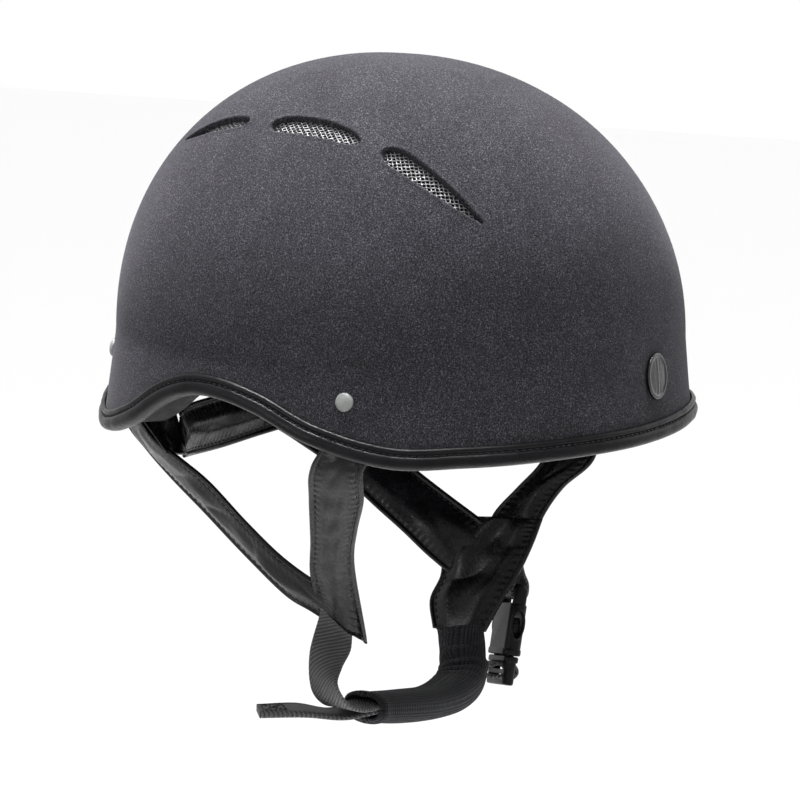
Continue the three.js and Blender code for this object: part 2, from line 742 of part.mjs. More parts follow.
function buckleSocket() {
  const barrel = roundedBlock(BUCKLE_WIDTH, BUCKLE_THICK, BARREL_HEIGHT, 3);
  barrel.translate(0, 0, BARREL_HEIGHT / 2);
  const inside = [
    BUCKLE_WIDTH - 2 * CAVITY_SIDE, BUCKLE_THICK - 2 * BUCKLE_WALL, BARREL_HEIGHT - CAVITY_SIDE,
  ];
  const cavity = box(...inside, 0, 0, inside[2] / 2 - CAVITY_SIDE);
  const window = new THREE.CylinderGeometry(1, 1, BUCKLE_WIDTH + 4, 20).rotateZ(Math.PI / 2);
  window.scale(1, THUMB_WINDOW.depth, THUMB_WINDOW.reach).translate(0, 0, THUMB_WINDOW.height);
  const bar = roundedBlock(BAR_BLOCK.width, BAR_BLOCK.thickness, BAR_BLOCK.height, 2.4);
  bar.translate(0, 0, BUCKLE_LENGTH - BAR_BLOCK.height / 2);
  const slot = box(WEBBING_WIDTH + SLOT_SPARE, CUT_THROUGH, BAR_BLOCK.slotHeight, 0, 0, BAR_BLOCK.slotAt);
  return cut(join([barrel, bar]), [cavity, window, slot]);
}

function bucklePlug() {
  const base = roundedBlock(BUCKLE_WIDTH, PLUG_BASE.thickness, PLUG_BASE.height, 2.6);
  base.translate(0, 0, PLUG_BASE.middle);
  const tongue = box(TONGUE.width, TONGUE.thickness, TONGUE.height, 0, 0, TONGUE.middle);
  const slotWidth = WEBBING_WIDTH + SLOT_SPARE;
  const slots = PLUG_SLOTS.map((z) => box(slotWidth, CUT_THROUGH, PLUG_BASE.slotHeight, 0, 0, z));
  return cut(join([base, tongue]), slots);
}

// a springy side arm with a thumb pad that shows in the socket's window
function buckleProng(side) {
  const shape = new THREE.Shape();
  shape.moveTo(8.4, -0.8);
  shape.lineTo(10.8, -0.8);
  shape.lineTo(10.8, 8);
  shape.quadraticCurveTo(12.4, 13.4, 10.6, PRONG_REACH);
  shape.quadraticCurveTo(9.2, PRONG_REACH + 1, 8.6, PRONG_REACH - 0.6);
  shape.lineTo(8.4, -0.8);
  const arm = new THREE.ExtrudeGeometry(shape, { depth: 3.2, bevelEnabled: false, curveSegments: 6 });
  arm.translate(0, 0, -1.6).rotateX(Math.PI / 2);
  return side > 0 ? arm : arm.rotateZ(Math.PI);
}

const object = new THREE.Group();

function addMesh(name, geometry, material, parent = object) {
  const mesh = new THREE.Mesh(geometry, material);
  mesh.name = name;
  parent.add(mesh);
  return mesh;
}

const rivetHoles = Object.values(everyRivet(rivetHole));
const ventHoles = Object.values(everyVent((vent, side) => ventBody(vent, side, 4, -8, 0)));
addMesh('outer_shell', cut(domeWall(0, SHELL_WALL, rimHeight), [...ventHoles, ...rivetHoles]), flock);

const strapRooms = Object.values(STRAPS).map(strapRoom);
const meshRooms = Object.values(everyVent(
  (vent, side) => ventBody(vent, side, 0, -MESH_DEPTH - MESH_THICK - 0.4, MESH_MARGIN + 0.4),
));
const airways = Object.values(everyVent((vent, side) => ventBody(vent, side, 0, -30, -0.4)));
const pockets = Object.values(everyRivet(rivetPocket));
addMesh('impact_liner', cut(domeWall(LINER_OUTER, LINER_INNER, (angle) => rimHeight(angle) + 1), [
  ...strapRooms, ...meshRooms, ...airways, ...pockets, trimRoom(),
]), foam);
addMesh('rim_trim', rimTrim(), leather);

const meshes = everyVent(
  (vent, side) => ventBody(vent, side, -MESH_DEPTH, -MESH_DEPTH - MESH_THICK, MESH_MARGIN),
);
for (const [name, geometry] of Object.entries(meshes)) {
  addMesh(`vent_mesh_${name}`, geometry, wire);
}

for (const [name, geometry] of Object.entries(everyRivet(rivet))) {
  addMesh(`rivet_${name}`, geometry, rivetPaint);
}
for (const [name, geometry] of Object.entries(everyRivet(rivetWasher))) {
  addMesh(`rivet_washer_${name}`, geometry, rivetPaint);
}
for (const [name, line] of Object.entries(STRAPS)) {
  const holes = everyRivet(rivetHole);
  addMesh(`harness_${name}`, cut(strap(line), [holes[name]]), leather);
}
addMesh('buckle_guard', strap(BUCKLE_GUARD), leather);
addMesh('nape_pad', strap(NAPE_PAD), leather);
addMesh('brow_pad', liningPad(-62, 62, 3, 8, 14), lining);
addMesh('side_pad_left', liningPad(68, 112, 4, 22, 6), lining);
addMesh('side_pad_right', liningPad(-112, -68, 4, 22, 6), lining);
addMesh('rear_pad', liningPad(118, 242, 4, 12, 14), lining);
addMesh('crown_pad', domeWall(PAD_OUTER, PAD_INNER, () => CROWN_PAD_EDGE, 20, 3), lining);
addMesh('chin_sleeve', sleeveTube(), knit);
addMesh('chin_webbing', strap(CHIN_WEBBING), webbing);
addMesh('strap_tail', strap(STRAP_TAIL), webbing);
addMesh('front_badge', badgePlate(), gloss);

const buckle = new THREE.Group();
const across = new THREE.Vector3(Math.cos(radians(BUCKLE_YAW)), Math.sin(radians(BUCKLE_YAW)), 0);
across.addScaledVector(BUCKLE_UP, -across.dot(BUCKLE_UP)).normalize();
const basis = new THREE.Matrix4().makeBasis(across, BUCKLE_UP.clone().cross(across), BUCKLE_UP);
buckle.quaternion.setFromRotationMatrix(basis);
buckle.position.copy(BUCKLE_MOUTH);
object.add(buckle);
addMesh('buckle_socket', buckleSocket(), acetal, buckle);
addMesh('buckle_plug', bucklePlug(), acetal, buckle);
addMesh('buckle_prong_front', buckleProng(-1), acetal, buckle);
addMesh('buckle_prong_rear', buckleProng(1), acetal, buckle);
addMesh('socket_webbing', buckleLoop(SOCKET_LOOP, 12), webbing, buckle);
addMesh('plug_webbing', buckleLoop(PLUG_LOOP, 12), webbing, buckle);

export default object;
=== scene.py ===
"""Looks of a flocked riding helmet: shell, trim, harness, chin sleeve, webbing, buckle and pads.

Lengths are millimetres until a mesh is made. The wearer faces -Y, their left is +X, +Z is up.
"""
import math

import bmesh
import bpy
import numpy as np
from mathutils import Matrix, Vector


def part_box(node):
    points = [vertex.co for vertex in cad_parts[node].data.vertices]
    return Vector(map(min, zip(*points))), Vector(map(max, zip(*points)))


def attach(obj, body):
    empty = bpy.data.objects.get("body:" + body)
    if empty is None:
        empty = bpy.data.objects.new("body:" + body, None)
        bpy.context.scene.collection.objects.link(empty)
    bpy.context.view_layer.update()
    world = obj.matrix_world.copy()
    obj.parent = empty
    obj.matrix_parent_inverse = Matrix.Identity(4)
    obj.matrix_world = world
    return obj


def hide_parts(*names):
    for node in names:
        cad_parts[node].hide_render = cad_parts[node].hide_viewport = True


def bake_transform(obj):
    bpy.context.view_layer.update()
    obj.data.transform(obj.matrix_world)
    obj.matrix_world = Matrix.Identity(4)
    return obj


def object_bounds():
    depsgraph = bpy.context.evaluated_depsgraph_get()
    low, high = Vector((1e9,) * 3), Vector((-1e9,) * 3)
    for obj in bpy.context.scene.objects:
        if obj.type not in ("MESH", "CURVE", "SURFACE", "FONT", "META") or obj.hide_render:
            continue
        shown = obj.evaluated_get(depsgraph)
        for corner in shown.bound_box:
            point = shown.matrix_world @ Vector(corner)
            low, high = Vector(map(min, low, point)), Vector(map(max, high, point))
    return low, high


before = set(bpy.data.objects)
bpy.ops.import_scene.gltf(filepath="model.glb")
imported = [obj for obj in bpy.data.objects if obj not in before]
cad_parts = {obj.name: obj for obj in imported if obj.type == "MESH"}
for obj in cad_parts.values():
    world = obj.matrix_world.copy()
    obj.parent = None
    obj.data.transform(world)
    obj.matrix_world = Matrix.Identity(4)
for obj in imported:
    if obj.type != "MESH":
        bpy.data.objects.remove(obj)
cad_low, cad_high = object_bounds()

MM = 0.001
TAU = 2 * math.pi

# ---------- driving dimensions, as in the CAD model ----------

SHELL_FRONT = 131.6
SHELL_BACK = 124.6
SHELL_HALF_WIDTH = 109.2
SHELL_HEIGHT = 123.5
PLAN_POWER = 2.2
PLAN_TAPER = 0.05
PROFILE_POWER = {"front": 2.1, "back": 2.16, "side": 1.95}
SKIRT_FLARE = {"front": 0.017, "back": 0.044, "side": 0.098}
SHELL_WALL = 3.0
LINER_OUTER = 4.2
LINER_INNER = 23.0
PAD_OUTER = 23.8
PAD_INNER = 31.0
CROWN_PAD_EDGE = 86.0
RIM = (
    (0, -34.5), (25, -34), (50, -35), (65, -35.5), (80, -27.5), (92, -15.5), (102, -13),
    (110, -17.5), (122, -31.5), (136, -39.5), (150, -38), (165, -33), (180, -31),
)
VENTS = {
    "front": {"blunt": (66.5, 89.8), "middle": (55.2, 80.2), "tip": (42.6, 62.6), "widths": (8.2, 7.8, 1.2)},
    "middle": {"blunt": (104, 96.8), "middle": (88.9, 97.4), "tip": (74, 92.8), "widths": (8, 8.6, 6)},
    "rear": {"blunt": (115.4, 97.2), "middle": (129.8, 93.4), "tip": (143.6, 85.7), "widths": (5, 6, 1.2)},
}
VENT_WALL_DEPTH = 4.9
MESH_DEPTH = 2.7
RIVETS = {"front": (73.3, -11.2), "rear": (150, -9)}
SIDES = {"right": -1, "left": 1}
TAB_MIDDLE = SHELL_WALL + 1.9
RIM_MIDDLE = 8.7
WEBBING_WIDTH = 20.0
WEBBING_THICK = 1.7
SLEEVE_LAYER = 1.35
BUCKLE_MOUTH = np.array((69.6, -19.4, -160.5))
BUCKLE_UP = np.array((0.294, 0.0, 0.956))
BUCKLE_YAW = 45.0
BUCKLE_WIDTH = 28.0
BUCKLE_SLOT = WEBBING_WIDTH + 1.4
LINER_BACK_INSET = 13
LINER_BACK_RISE = 26

# ---------- dimensions of the looks ----------

VENT_BAND = (58, 103)
VENT_REACH = 42
FAR_FROM_VENTS = 50.0
TRIM_SEAM = (1.72, 4.05)
STRAP_BEAD = 1.15
STRAP_GROOVE = 3.2
STRAP_SPACING = 0.9
STRAP_FULL_HALF_WIDTH = 9.5
WIRE_PITCH = 1.75
WIRE_RADIUS = 0.24
WIRE_TURN = math.radians(38)
PAD_VOXEL = 3.4
PAD_PRESSURE = 3.0
PAD_GROWTH = 2.2
PAD_HELD_INSET = PAD_OUTER + 1.4
CUFF_ARCH = (7.5, 9.5)
MOUTH_ROWS = 46
FLOOR_DROP = 900
FLOOR_REACH = 9000
ASKEW = np.array((0.13, 0.31, 0.94))


# ---------- small maths ----------

def unit(v):
    return v / np.maximum(np.linalg.norm(v, axis=-1, keepdims=True), 1e-9)


def smooth(t):
    t = np.clip(t, 0, 1)
    return t * t * (3 - 2 * t)


def signed_power(value, power):
    return np.sign(value) * np.abs(value) ** power


def ripple(x, y, seed, waves=6):
    """Smooth noise between about -1 and 1, from waves in seeded directions."""
    random = np.random.default_rng(seed)
    total = np.zeros(np.broadcast(x, y).shape)
    for _ in range(waves):
        turn, phase, pace = random.uniform(0, TAU, 2).tolist() + [random.uniform(0.6, 1.7)]
        total = total + np.sin(pace * (x * math.cos(turn) + y * math.sin(turn)) + phase)
    return total / math.sqrt(waves * 2)


def crease(x, y, seed):
    """Broad swells that meet in narrow valleys."""
    return 2 * np.sqrt(np.abs(ripple(x, y, seed, 4)) + 0.01) - 1.3


def curve(points, t):
    """Centripetal Catmull-Rom curve through the points."""
    p = np.asarray(points, float)
    t = np.atleast_1d(np.asarray(t, float))
    place = np.clip(t, 0, 1) * (len(p) - 1)
    i = np.minimum(place.astype(int), len(p) - 2)
    w = (place - i)[:, None]
    longer = np.vstack([2 * p[0] - p[1], p, 2 * p[-1] - p[-2]])
    p0, p1, p2, p3 = (longer[i + k] for k in range(4))
    d0, d1, d2 = (np.maximum(np.linalg.norm(b - a, axis=1), 1e-6)[:, None] ** 0.5
                  for a, b in ((p0, p1), (p1, p2), (p2, p3)))
    m1 = ((p1 - p0) / d0 - (p2 - p0) / (d0 + d1) + (p2 - p1) / d1) * d1
    m2 = ((p2 - p1) / d1 - (p3 - p1) / (d1 + d2) + (p3 - p2) / d2) * d1
    w2, w3 = w * w, w * w * w
    return p1 * (2 * w3 - 3 * w2 + 1) + m1 * (w3 - 2 * w2 + w) + p2 * (3 * w2 - 2 * w3) + m2 * (w3 - w2)


def row_between(places, rows, at):
    """Rows of three numbers at places between the listed ones."""
    return np.stack([np.interp(at, places, rows[:, k]) for k in range(3)], axis=-1)


# ---------- the dome ----------

def dome(angle, z, inset=0.0):
    """Points of the shell, at angles from the forehead towards the wearer's left."""
    c, s = np.cos(angle), np.sin(angle)
    ahead = c > 0
    side = 1 - c * c
    height = SHELL_HEIGHT - inset
    power = np.where(ahead, PROFILE_POWER["front"], PROFILE_POWER["back"])
    power = power + (PROFILE_POWER["side"] - power) * side
    flare = np.where(ahead, SKIRT_FLARE["front"], SKIRT_FLARE["back"])
    flare = flare + (SKIRT_FLARE["side"] - flare) * side
    level = np.clip(z / height, 0, 1)
    radius = (1 - level ** power) ** (1 / power) * (1 + flare * np.maximum(-z, 0) / 50)
    length = np.where(ahead, SHELL_FRONT, SHELL_BACK) - inset
    x = (SHELL_HALF_WIDTH - inset) * signed_power(s, 2 / PLAN_POWER) * (1 + PLAN_TAPER * c)
    y = -length * signed_power(c, 2 / PLAN_POWER)
    return np.stack(np.broadcast_arrays(x * radius, y * radius, z), axis=-1)


def dome_and_normal(angle, z):
    """Points of the shell, and the outward direction at each."""
    step = 0.01
    along = unit(dome(angle + step, z) - dome(angle - step, z))
    up = unit(dome(angle, z + step) - dome(angle, z - step))
    return dome(angle, z), unit(np.cross(along, up))


def dome_angle(points):
    """Angle of each point round the dome, roughly."""
    return np.arctan2(points[:, 0] / SHELL_HALF_WIDTH, -points[:, 1] / SHELL_FRONT)


def rim_height(angle):
    """Height of the shell's lower edge, a smooth curve through the RIM points."""
    table = np.array(RIM, float)
    degrees = np.abs(np.degrees(np.asarray(angle, float))) % 360
    degrees = np.where(degrees > 180, 360 - degrees, degrees)
    a, z = table[:, 0], table[:, 1]
    slope = np.zeros(len(a))
    slope[1:-1] = (z[2:] - z[:-2]) / (a[2:] - a[:-2])
    i = np.clip(np.searchsorted(a, degrees, side="right") - 1, 0, len(a) - 2)
    span = a[i + 1] - a[i]
    t = (degrees - a[i]) / span
    rise = (2 * t ** 3 - 3 * t ** 2 + 1) * z[i] + (3 * t ** 2 - 2 * t ** 3) * z[i + 1]
    return rise + span * ((t ** 3 - 2 * t ** 2 + t) * slope[i] + (t ** 3 - t ** 2) * slope[i + 1])


def under_shell(degrees, z, depth):
    at, out = dome_and_normal(math.radians(degrees), z)
    return at - out * depth


# ---------- meshes ----------

def grid_faces(rows, size, ring=True, closed=False, offset=0):
    """Quads between rows of points; ring joins each row's ends, closed joins the last row to the first."""
    faces = []
    for i in range(rows if closed else rows - 1):
        a, b = offset + i * size, offset + (i + 1) % rows * size
        for j in range(size if ring else size - 1):
            k = (j + 1) % size
            faces.append((a + j, a + k, b + k, b + j))
    return faces


def capped_faces(rows, size):
    """Faces of a tube of rings, with a flat cap at each end."""
    faces = grid_faces(rows, size)
    faces.append(tuple(range(size - 1, -1, -1)))
    faces.append(tuple((rows - 1) * size + j for j in range(size)))
    return faces


def slab_faces(rows, columns):
    """Faces of a slab: a grid, a second grid behind it and the border between them."""
    count = rows * columns
    front = grid_faces(rows, columns, ring=False)
    back = [tuple(x + count for x in f[::-1]) for f in front]
    edge = list(range(columns)) + [i * columns + columns - 1 for i in range(1, rows)]
    edge += [(rows - 1) * columns + j for j in range(columns - 2, -1, -1)]
    edge += [i * columns for i in range(rows - 2, 0, -1)]
    border = [(a, b, b + count, a + count) for a, b in zip(edge, edge[1:] + edge[:1])]
    return front + back + border


def merged(parts):
    """Points and faces of several meshes as one."""
    points, faces, start = [], [], 0
    for some, theirs in parts:
        points.append(some)
        faces += [tuple(v + start for v in f) for f in theirs]
        start += len(some)
    return np.vstack(points), faces


def tube(path, radius, sides):
    """A round tube along a path, with flat ends."""
    path = np.asarray(path, float)
    run = unit(np.gradient(path, axis=0))
    across = unit(np.cross(run, ASKEW))
    other = np.cross(run, across)
    turn = np.linspace(0, TAU, sides, endpoint=False)[None, :, None]
    radii = np.broadcast_to(np.asarray(radius, float), (len(path),))[:, None, None]
    ring = np.cos(turn) * across[:, None] + np.sin(turn) * other[:, None]
    return (path[:, None] + radii * ring).reshape(-1, 3), capped_faces(len(path), sides)


def stitches(path, outward, pitch, length, radius):
    """Separate short threads along a path, each sunk a little into the surface at its ends."""
    place = np.r_[0, np.cumsum(np.linalg.norm(np.diff(path, axis=0), axis=1))]
    t = np.linspace(-1, 1, 5)[:, None]
    parts = []
    for centre in np.arange(pitch / 2, place[-1] - pitch / 2, pitch):
        start, end = (row_between(place, path, centre + d) for d in (-length / 2, length / 2))
        out = unit(row_between(place, outward, centre))
        line = (start + end) / 2 + t * ((end - start) / 2) + out * radius * (0.75 - 1.5 * t ** 4)
        parts.append(tube(line, radius * np.array((0.6, 0.95, 1, 0.95, 0.6)), 6))
    return merged(parts)


def new_object(name, points, faces, material, cloth=None, closed=True):
    """Makes an object from points in millimetres; cloth holds its woven coordinates, also in millimetres."""
    mesh = bpy.data.meshes.new(name)
    mesh.from_pydata((np.asarray(points) * MM).tolist(), [], faces)
    if cloth is not None:
        layer = mesh.attributes.new("cloth", "FLOAT_VECTOR", "POINT")
        layer.data.foreach_set("vector", (np.asarray(cloth, float) * MM).ravel())
    work = bmesh.new()
    work.from_mesh(mesh)
    bmesh.ops.recalc_face_normals(work, faces=work.faces)
    if closed and work.calc_volume(signed=True) < 0:
        bmesh.ops.reverse_faces(work, faces=work.faces)
    work.to_mesh(mesh)
    work.free()
    mesh.shade_smooth()
    mesh.materials.append(material)
    made = bpy.data.objects.new(name, mesh)
    bpy.context.collection.objects.link(made)
    return made


def ringed_object(name, rings, material, cloth=None):
    """An object skinned over rings of points, with a cap at each end."""
    rings = np.array(rings)
    rows, size = rings.shape[:2]
    return new_object(name, rings.reshape(-1, 3), capped_faces(rows, size), material, cloth)


def cloth_row(along, across):
    """Woven coordinates of one ring: over the upper face and back under the lower one."""
    both = np.r_[across, across[::-1]]
    return np.stack([np.full(len(both), along), both, both], axis=1)


def belongs(piece, body, slot, *nodes):
    """Rides a piece on a body and hides the CAD nodes it stands for; its slot is not used."""
    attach(piece, body)
    if nodes:
        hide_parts(*nodes)
    return piece


def apply_modifiers(piece):
    evaluated = piece.evaluated_get(bpy.context.evaluated_depsgraph_get())
    mesh = bpy.data.meshes.new_from_object(evaluated)
    piece.modifiers.clear()
    piece.data = mesh
    return piece


# ---------- materials ----------

class Paint:
    """Nodes for one material: object coordinates in, one Principled shader out."""

    def __init__(self, name, roughness, **sockets):
        self.material = bpy.data.materials.new(name)
        self.material.use_nodes = True
        self.tree = self.material.node_tree
        self.shader = self.tree.nodes["Principled BSDF"]
        self.shader.inputs["Roughness"].default_value = roughness
        for socket, value in sockets.items():
            self.shader.inputs[socket.replace("_", " ")].default_value = value
        self.place = self.node("ShaderNodeTexCoord").outputs["Object"]
        self.heights = []

    def node(self, kind, links=(), **settings):
        made = self.tree.nodes.new(kind)
        for key, value in settings.items():
            setattr(made, key, value)
        for socket, value in dict(links).items():
            if isinstance(value, bpy.types.NodeSocket):
                self.tree.links.new(value, made.inputs[socket])
            else:
                made.inputs[socket].default_value = value
        return made

    def maths(self, operation, a, b=0.0):
        return self.node("ShaderNodeMath", {0: a, 1: b}, operation=operation).outputs[0]

    def noise(self, size_mm, detail=3.0, roughness=0.6):
        links = {"Vector": self.place, "Scale": 1 / (size_mm * MM), "Detail": detail, "Roughness": roughness}
        return self.node("ShaderNodeTexNoise", links).outputs["Fac"]

    def cells(self, size_mm, feature="F1", randomness=1.0):
        links = {"Vector": self.place, "Scale": 1 / (size_mm * MM), "Randomness": randomness}
        return self.node("ShaderNodeTexVoronoi", links, feature=feature).outputs["Distance"]

    def cloth(self):
        """Lengthways, crossways and round distances along the piece, in metres."""
        vector = self.node("ShaderNodeAttribute", attribute_name="cloth").outputs["Vector"]
        return self.node("ShaderNodeSeparateXYZ", {0: vector}).outputs

    def wave(self, distance, pitch_mm, phase=0.0):
        turns = self.maths("MULTIPLY", distance, TAU / (pitch_mm * MM))
        return self.maths("SINE", self.maths("ADD", turns, phase))

    def ramp(self, value, stops):
        made = self.node("ShaderNodeValToRGB", {0: value})
        points = made.color_ramp.elements
        while len(points) < len(stops):
            points.new(0.5)
        for point, (place, colour) in zip(points, stops):
            point.position = place
            point.color = (*colour, 1.0)
        return made.outputs["Color"]

    def spread(self, value, low, high, to_low, to_high):
        links = {"Value": value, "From Min": low, "From Max": high, "To Min": to_low, "To Max": to_high}
        return self.node("ShaderNodeMapRange", links).outputs["Result"]

    def blend(self, mode, factor, a, b):
        made = self.node("ShaderNodeMix", data_type="RGBA", blend_type=mode)
        for index, value in ((0, factor), (6, a), (7, b)):
            if isinstance(value, bpy.types.NodeSocket):
                self.tree.links.new(value, made.inputs[index])
            else:
                made.inputs[index].default_value = value
        return made.outputs[2]

    def mottled(self, base, value, low, high):
        """Base colour made darker and lighter by a pattern."""
        shades = self.ramp(value, ((0.3, grey(low)), (0.7, grey(high))))
        return self.blend("MULTIPLY", 1.0, base, shades)

    def colour(self, socket):
        self.tree.links.new(socket, self.shader.inputs["Base Color"])

    def rough(self, socket):
        self.tree.links.new(socket, self.shader.inputs["Roughness"])

    def bump(self, height, depth_mm, strength=1.0):
        self.heights.append((height, depth_mm, strength))

    def done(self):
        normal = None
        for height, depth_mm, strength in self.heights:
            links = {"Height": height, "Distance": depth_mm * MM, "Strength": strength}
            if normal is not None:
                links["Normal"] = normal
            normal = self.node("ShaderNodeBump", links).outputs["Normal"]
        if normal is not None:
            self.tree.links.new(normal, self.shader.inputs["Normal"])
        return self.material


def grey(value, tint=(1.0, 1.0, 1.0)):
    return tuple(value * t for t in tint)


def flock_paint():
    p = Paint("flock", 0.95, Sheen_Weight=0.05, Sheen_Roughness=0.5, Specular_IOR_Level=0.05)
    p.shader.inputs["Sheen Tint"].default_value = (0.80, 0.78, 0.86, 1)
    fibre = p.noise(0.62, 2.0, 0.8)
    tint = (1.0, 0.97, 1.13)
    shades = ((0.34, 0.004), (0.47, 0.014), (0.58, 0.025), (0.72, 0.095))
    flecks = p.ramp(fibre, [(place, grey(value, tint)) for place, value in shades])
    p.colour(p.mottled(flecks, p.noise(22, 3.0), 0.86, 1.12))
    p.bump(fibre, 0.16, 0.8)
    p.bump(p.noise(5, 3.0), 0.35, 0.25)
    return p.done()


def leather_paint(name, dark, light, grain_mm, roughness, specular=0.3, tint=(1.0, 1.0, 1.06)):
    p = Paint(name, roughness, Specular_IOR_Level=specular)
    pebbles = p.cells(grain_mm, "SMOOTH_F1")
    fine = p.noise(grain_mm * 0.4, 3.0)
    broad = p.noise(14, 4.0)
    scuffs = p.noise(3.2, 4.0, 0.7)
    base = p.ramp(broad, ((0.3, grey(dark, tint)), (0.7, grey(light, tint))))
    # Painted shade: the colour darkens in the grain's valleys between the pebbles and lightens on the pebble
    # tops.
    creases = p.ramp(pebbles, ((0.0, grey(1.15)), (0.75, grey(0.7))))
    rubbed = p.ramp(scuffs, ((0.62, grey(0.0)), (0.8, grey(light * 0.9))))
    p.colour(p.blend("ADD", 0.6, p.blend("MULTIPLY", 1.0, base, creases), rubbed))
    p.rough(p.spread(scuffs, 0.3, 0.75, roughness - 0.08, roughness + 0.14))
    p.bump(p.maths("MULTIPLY", pebbles, -1.0), 0.16, 0.5)
    p.bump(fine, 0.06, 0.4)
    p.bump(broad, 1.2, 0.3)
    return p.done()


def webbing_paint():
    p = Paint("webbing", 0.6, Specular_IOR_Level=0.2, Sheen_Weight=0.05)
    along, across, _ = p.cloth()
    rib = p.wave(p.maths("ADD", along, across), 1.9)
    cross = p.wave(p.maths("SUBTRACT", along, across), 0.95, 1.0)
    weave = p.maths("ADD", rib, p.maths("MULTIPLY", cross, 0.45))
    fuzz = p.noise(0.5, 3.0, 0.7)
    # Painted shade: the low parts of the weave, between the yarns, are darker and the raised yarns lighter.
    shades = ((0.1, grey(0.022)), (0.55, grey(0.048)), (0.9, grey(0.075)))
    base = p.ramp(p.spread(weave, -1.4, 1.4, 0.0, 1.0), shades)
    p.colour(p.mottled(base, fuzz, 0.75, 1.25))
    p.bump(weave, 0.22, 0.9)
    p.bump(fuzz, 0.1, 0.4)
    return p.done()


def knit_paint():
    p = Paint("knit", 0.95, Sheen_Weight=0.1, Sheen_Roughness=0.5, Specular_IOR_Level=0.06)
    along, across, _ = p.cloth()
    wale = p.wave(across, 1.5)
    zigzag = p.maths("MULTIPLY", p.maths("ABSOLUTE", p.wave(across, 1.5, 0.8)), 0.0005)
    course = p.wave(p.maths("ADD", along, zigzag), 1.15)
    loops = p.maths("ADD", p.maths("MULTIPLY", wale, 0.6), p.maths("MULTIPLY", course, 0.5))
    fuzz = p.noise(0.45, 3.0, 0.75)
    tint = (0.95, 0.97, 1.25)
    # Painted shade: the low parts of the knit, between the loops, are darker and the loop tops lighter.
    shades = ((0.15, grey(0.0025, tint)), (0.8, grey(0.013, tint)))
    base = p.ramp(p.spread(loops, -1.1, 1.1, 0.0, 1.0), shades)
    specks = p.ramp(fuzz, ((0.62, grey(0.0)), (0.8, grey(0.03, tint))))
    p.colour(p.blend("ADD", 0.8, base, specks))
    p.bump(loops, 0.35, 1.0)
    p.bump(fuzz, 0.16, 0.6)
    return p.done()


def lining_paint():
    p = Paint("lining", 0.9, Sheen_Weight=0.08, Specular_IOR_Level=0.1)
    holes = p.cells(2.1, "F1", 0.25)
    fuzz = p.noise(0.5, 3.0, 0.7)
    # Painted shade: the sunk centres of the holes are darkest.
    base = p.ramp(holes, ((0.22, grey(0.003)), (0.4, grey(0.011)), (0.9, grey(0.015))))
    p.colour(p.mottled(base, fuzz, 0.7, 1.35))
    p.bump(holes, 0.4, 0.8)
    p.bump(fuzz, 0.15, 0.5)
    return p.done()


def foam_paint():
    p = Paint("foam", 0.85, Specular_IOR_Level=0.12)
    beads = p.cells(3.4)
    # Painted shade: the grooves between the beads are darker than the bead tops.
    base = p.ramp(beads, ((0.2, grey(0.018)), (0.55, grey(0.013)), (0.8, grey(0.006))))
    p.colour(p.mottled(base, p.noise(1.1), 0.8, 1.2))
    p.bump(p.maths("MULTIPLY", beads, -1.0), 0.5, 0.6)
    return p.done()


def plastic_paint(name, value, roughness, specular=0.3, coat=0.0):
    p = Paint(name, roughness, Specular_IOR_Level=specular, Coat_Weight=coat, Coat_Roughness=0.08)
    tint = (1.0, 1.0, 1.04)
    stretched = p.node("ShaderNodeMapping", {"Vector": p.place, "Scale": (1.0, 9.0, 2.0)}).outputs[0]
    links = {"Vector": stretched, "Scale": 420.0, "Detail": 4.0}
    scratches = p.node("ShaderNodeTexNoise", links).outputs["Fac"]
    base = p.ramp(p.noise(5, 3.0), ((0.3, grey(value * 0.8, tint)), (0.7, grey(value * 1.2, tint))))
    lines = p.ramp(scratches, ((0.64, grey(0.0)), (0.72, grey(value * 0.8))))
    p.colour(p.blend("ADD", 0.5, base, lines))
    p.rough(p.spread(scratches, 0.35, 0.75, roughness - 0.05, roughness + 0.12))
    p.bump(p.noise(0.35, 2.0), 0.03, 0.35)
    return p.done()


def metal_paint(name, dark, light, roughness, metallic, scale=0.8):
    p = Paint(name, roughness, Metallic=metallic)
    blotch = p.noise(scale, 4.0, 0.7)
    p.colour(p.ramp(blotch, ((0.3, dark), (0.7, light))))
    p.rough(p.spread(blotch, 0.3, 0.7, roughness - 0.08, roughness + 0.12))
    p.bump(blotch, 0.04, 0.4)
    return p.done()


FLOCK = flock_paint()
TRIM = leather_paint("trim_leather", 0.0025, 0.005, 0.9, 0.32, 0.1, (1.0, 0.98, 1.2))
HARNESS = leather_paint("harness_leather", 0.002, 0.005, 0.7, 0.25, 0.18, (1.0, 0.97, 1.2))
THREAD = leather_paint("thread", 0.010, 0.024, 0.3, 0.6, 0.15)
WEBBING = webbing_paint()
KNIT = knit_paint()
LINING = lining_paint()
FOAM = foam_paint()
BUCKLE = plastic_paint("acetal", 0.0035, 0.38, 0.1)
BADGE = plastic_paint("badge_gloss", 0.003, 0.14, coat=0.35)
RIVET = metal_paint("rivet_paint", (0.12, 0.124, 0.12), (0.165, 0.17, 0.165), 0.45, 0.1)
WIRE = metal_paint("wire", (0.06, 0.06, 0.063), (0.24, 0.24, 0.25), 0.34, 0.85, 0.5)


# ---------- shell ----------

def vent_line(vent, side, t):
    """Angle in radians and height along a slot's middle, and its half width."""
    def through(a, b, c):
        return a + (c - a) * t + 4 * (b - (a + c) / 2) * t * (1 - t)
    degrees = through(*(vent[k][0] for k in ("blunt", "middle", "tip")))
    z = through(*(vent[k][1] for k in ("blunt", "middle", "tip")))
    ends = np.sqrt(np.maximum(1 - (2 * t - 1) ** 6, 0))
    return side * np.radians(degrees), z, np.maximum(through(*vent["widths"]) / 2 * ends, 0.25)


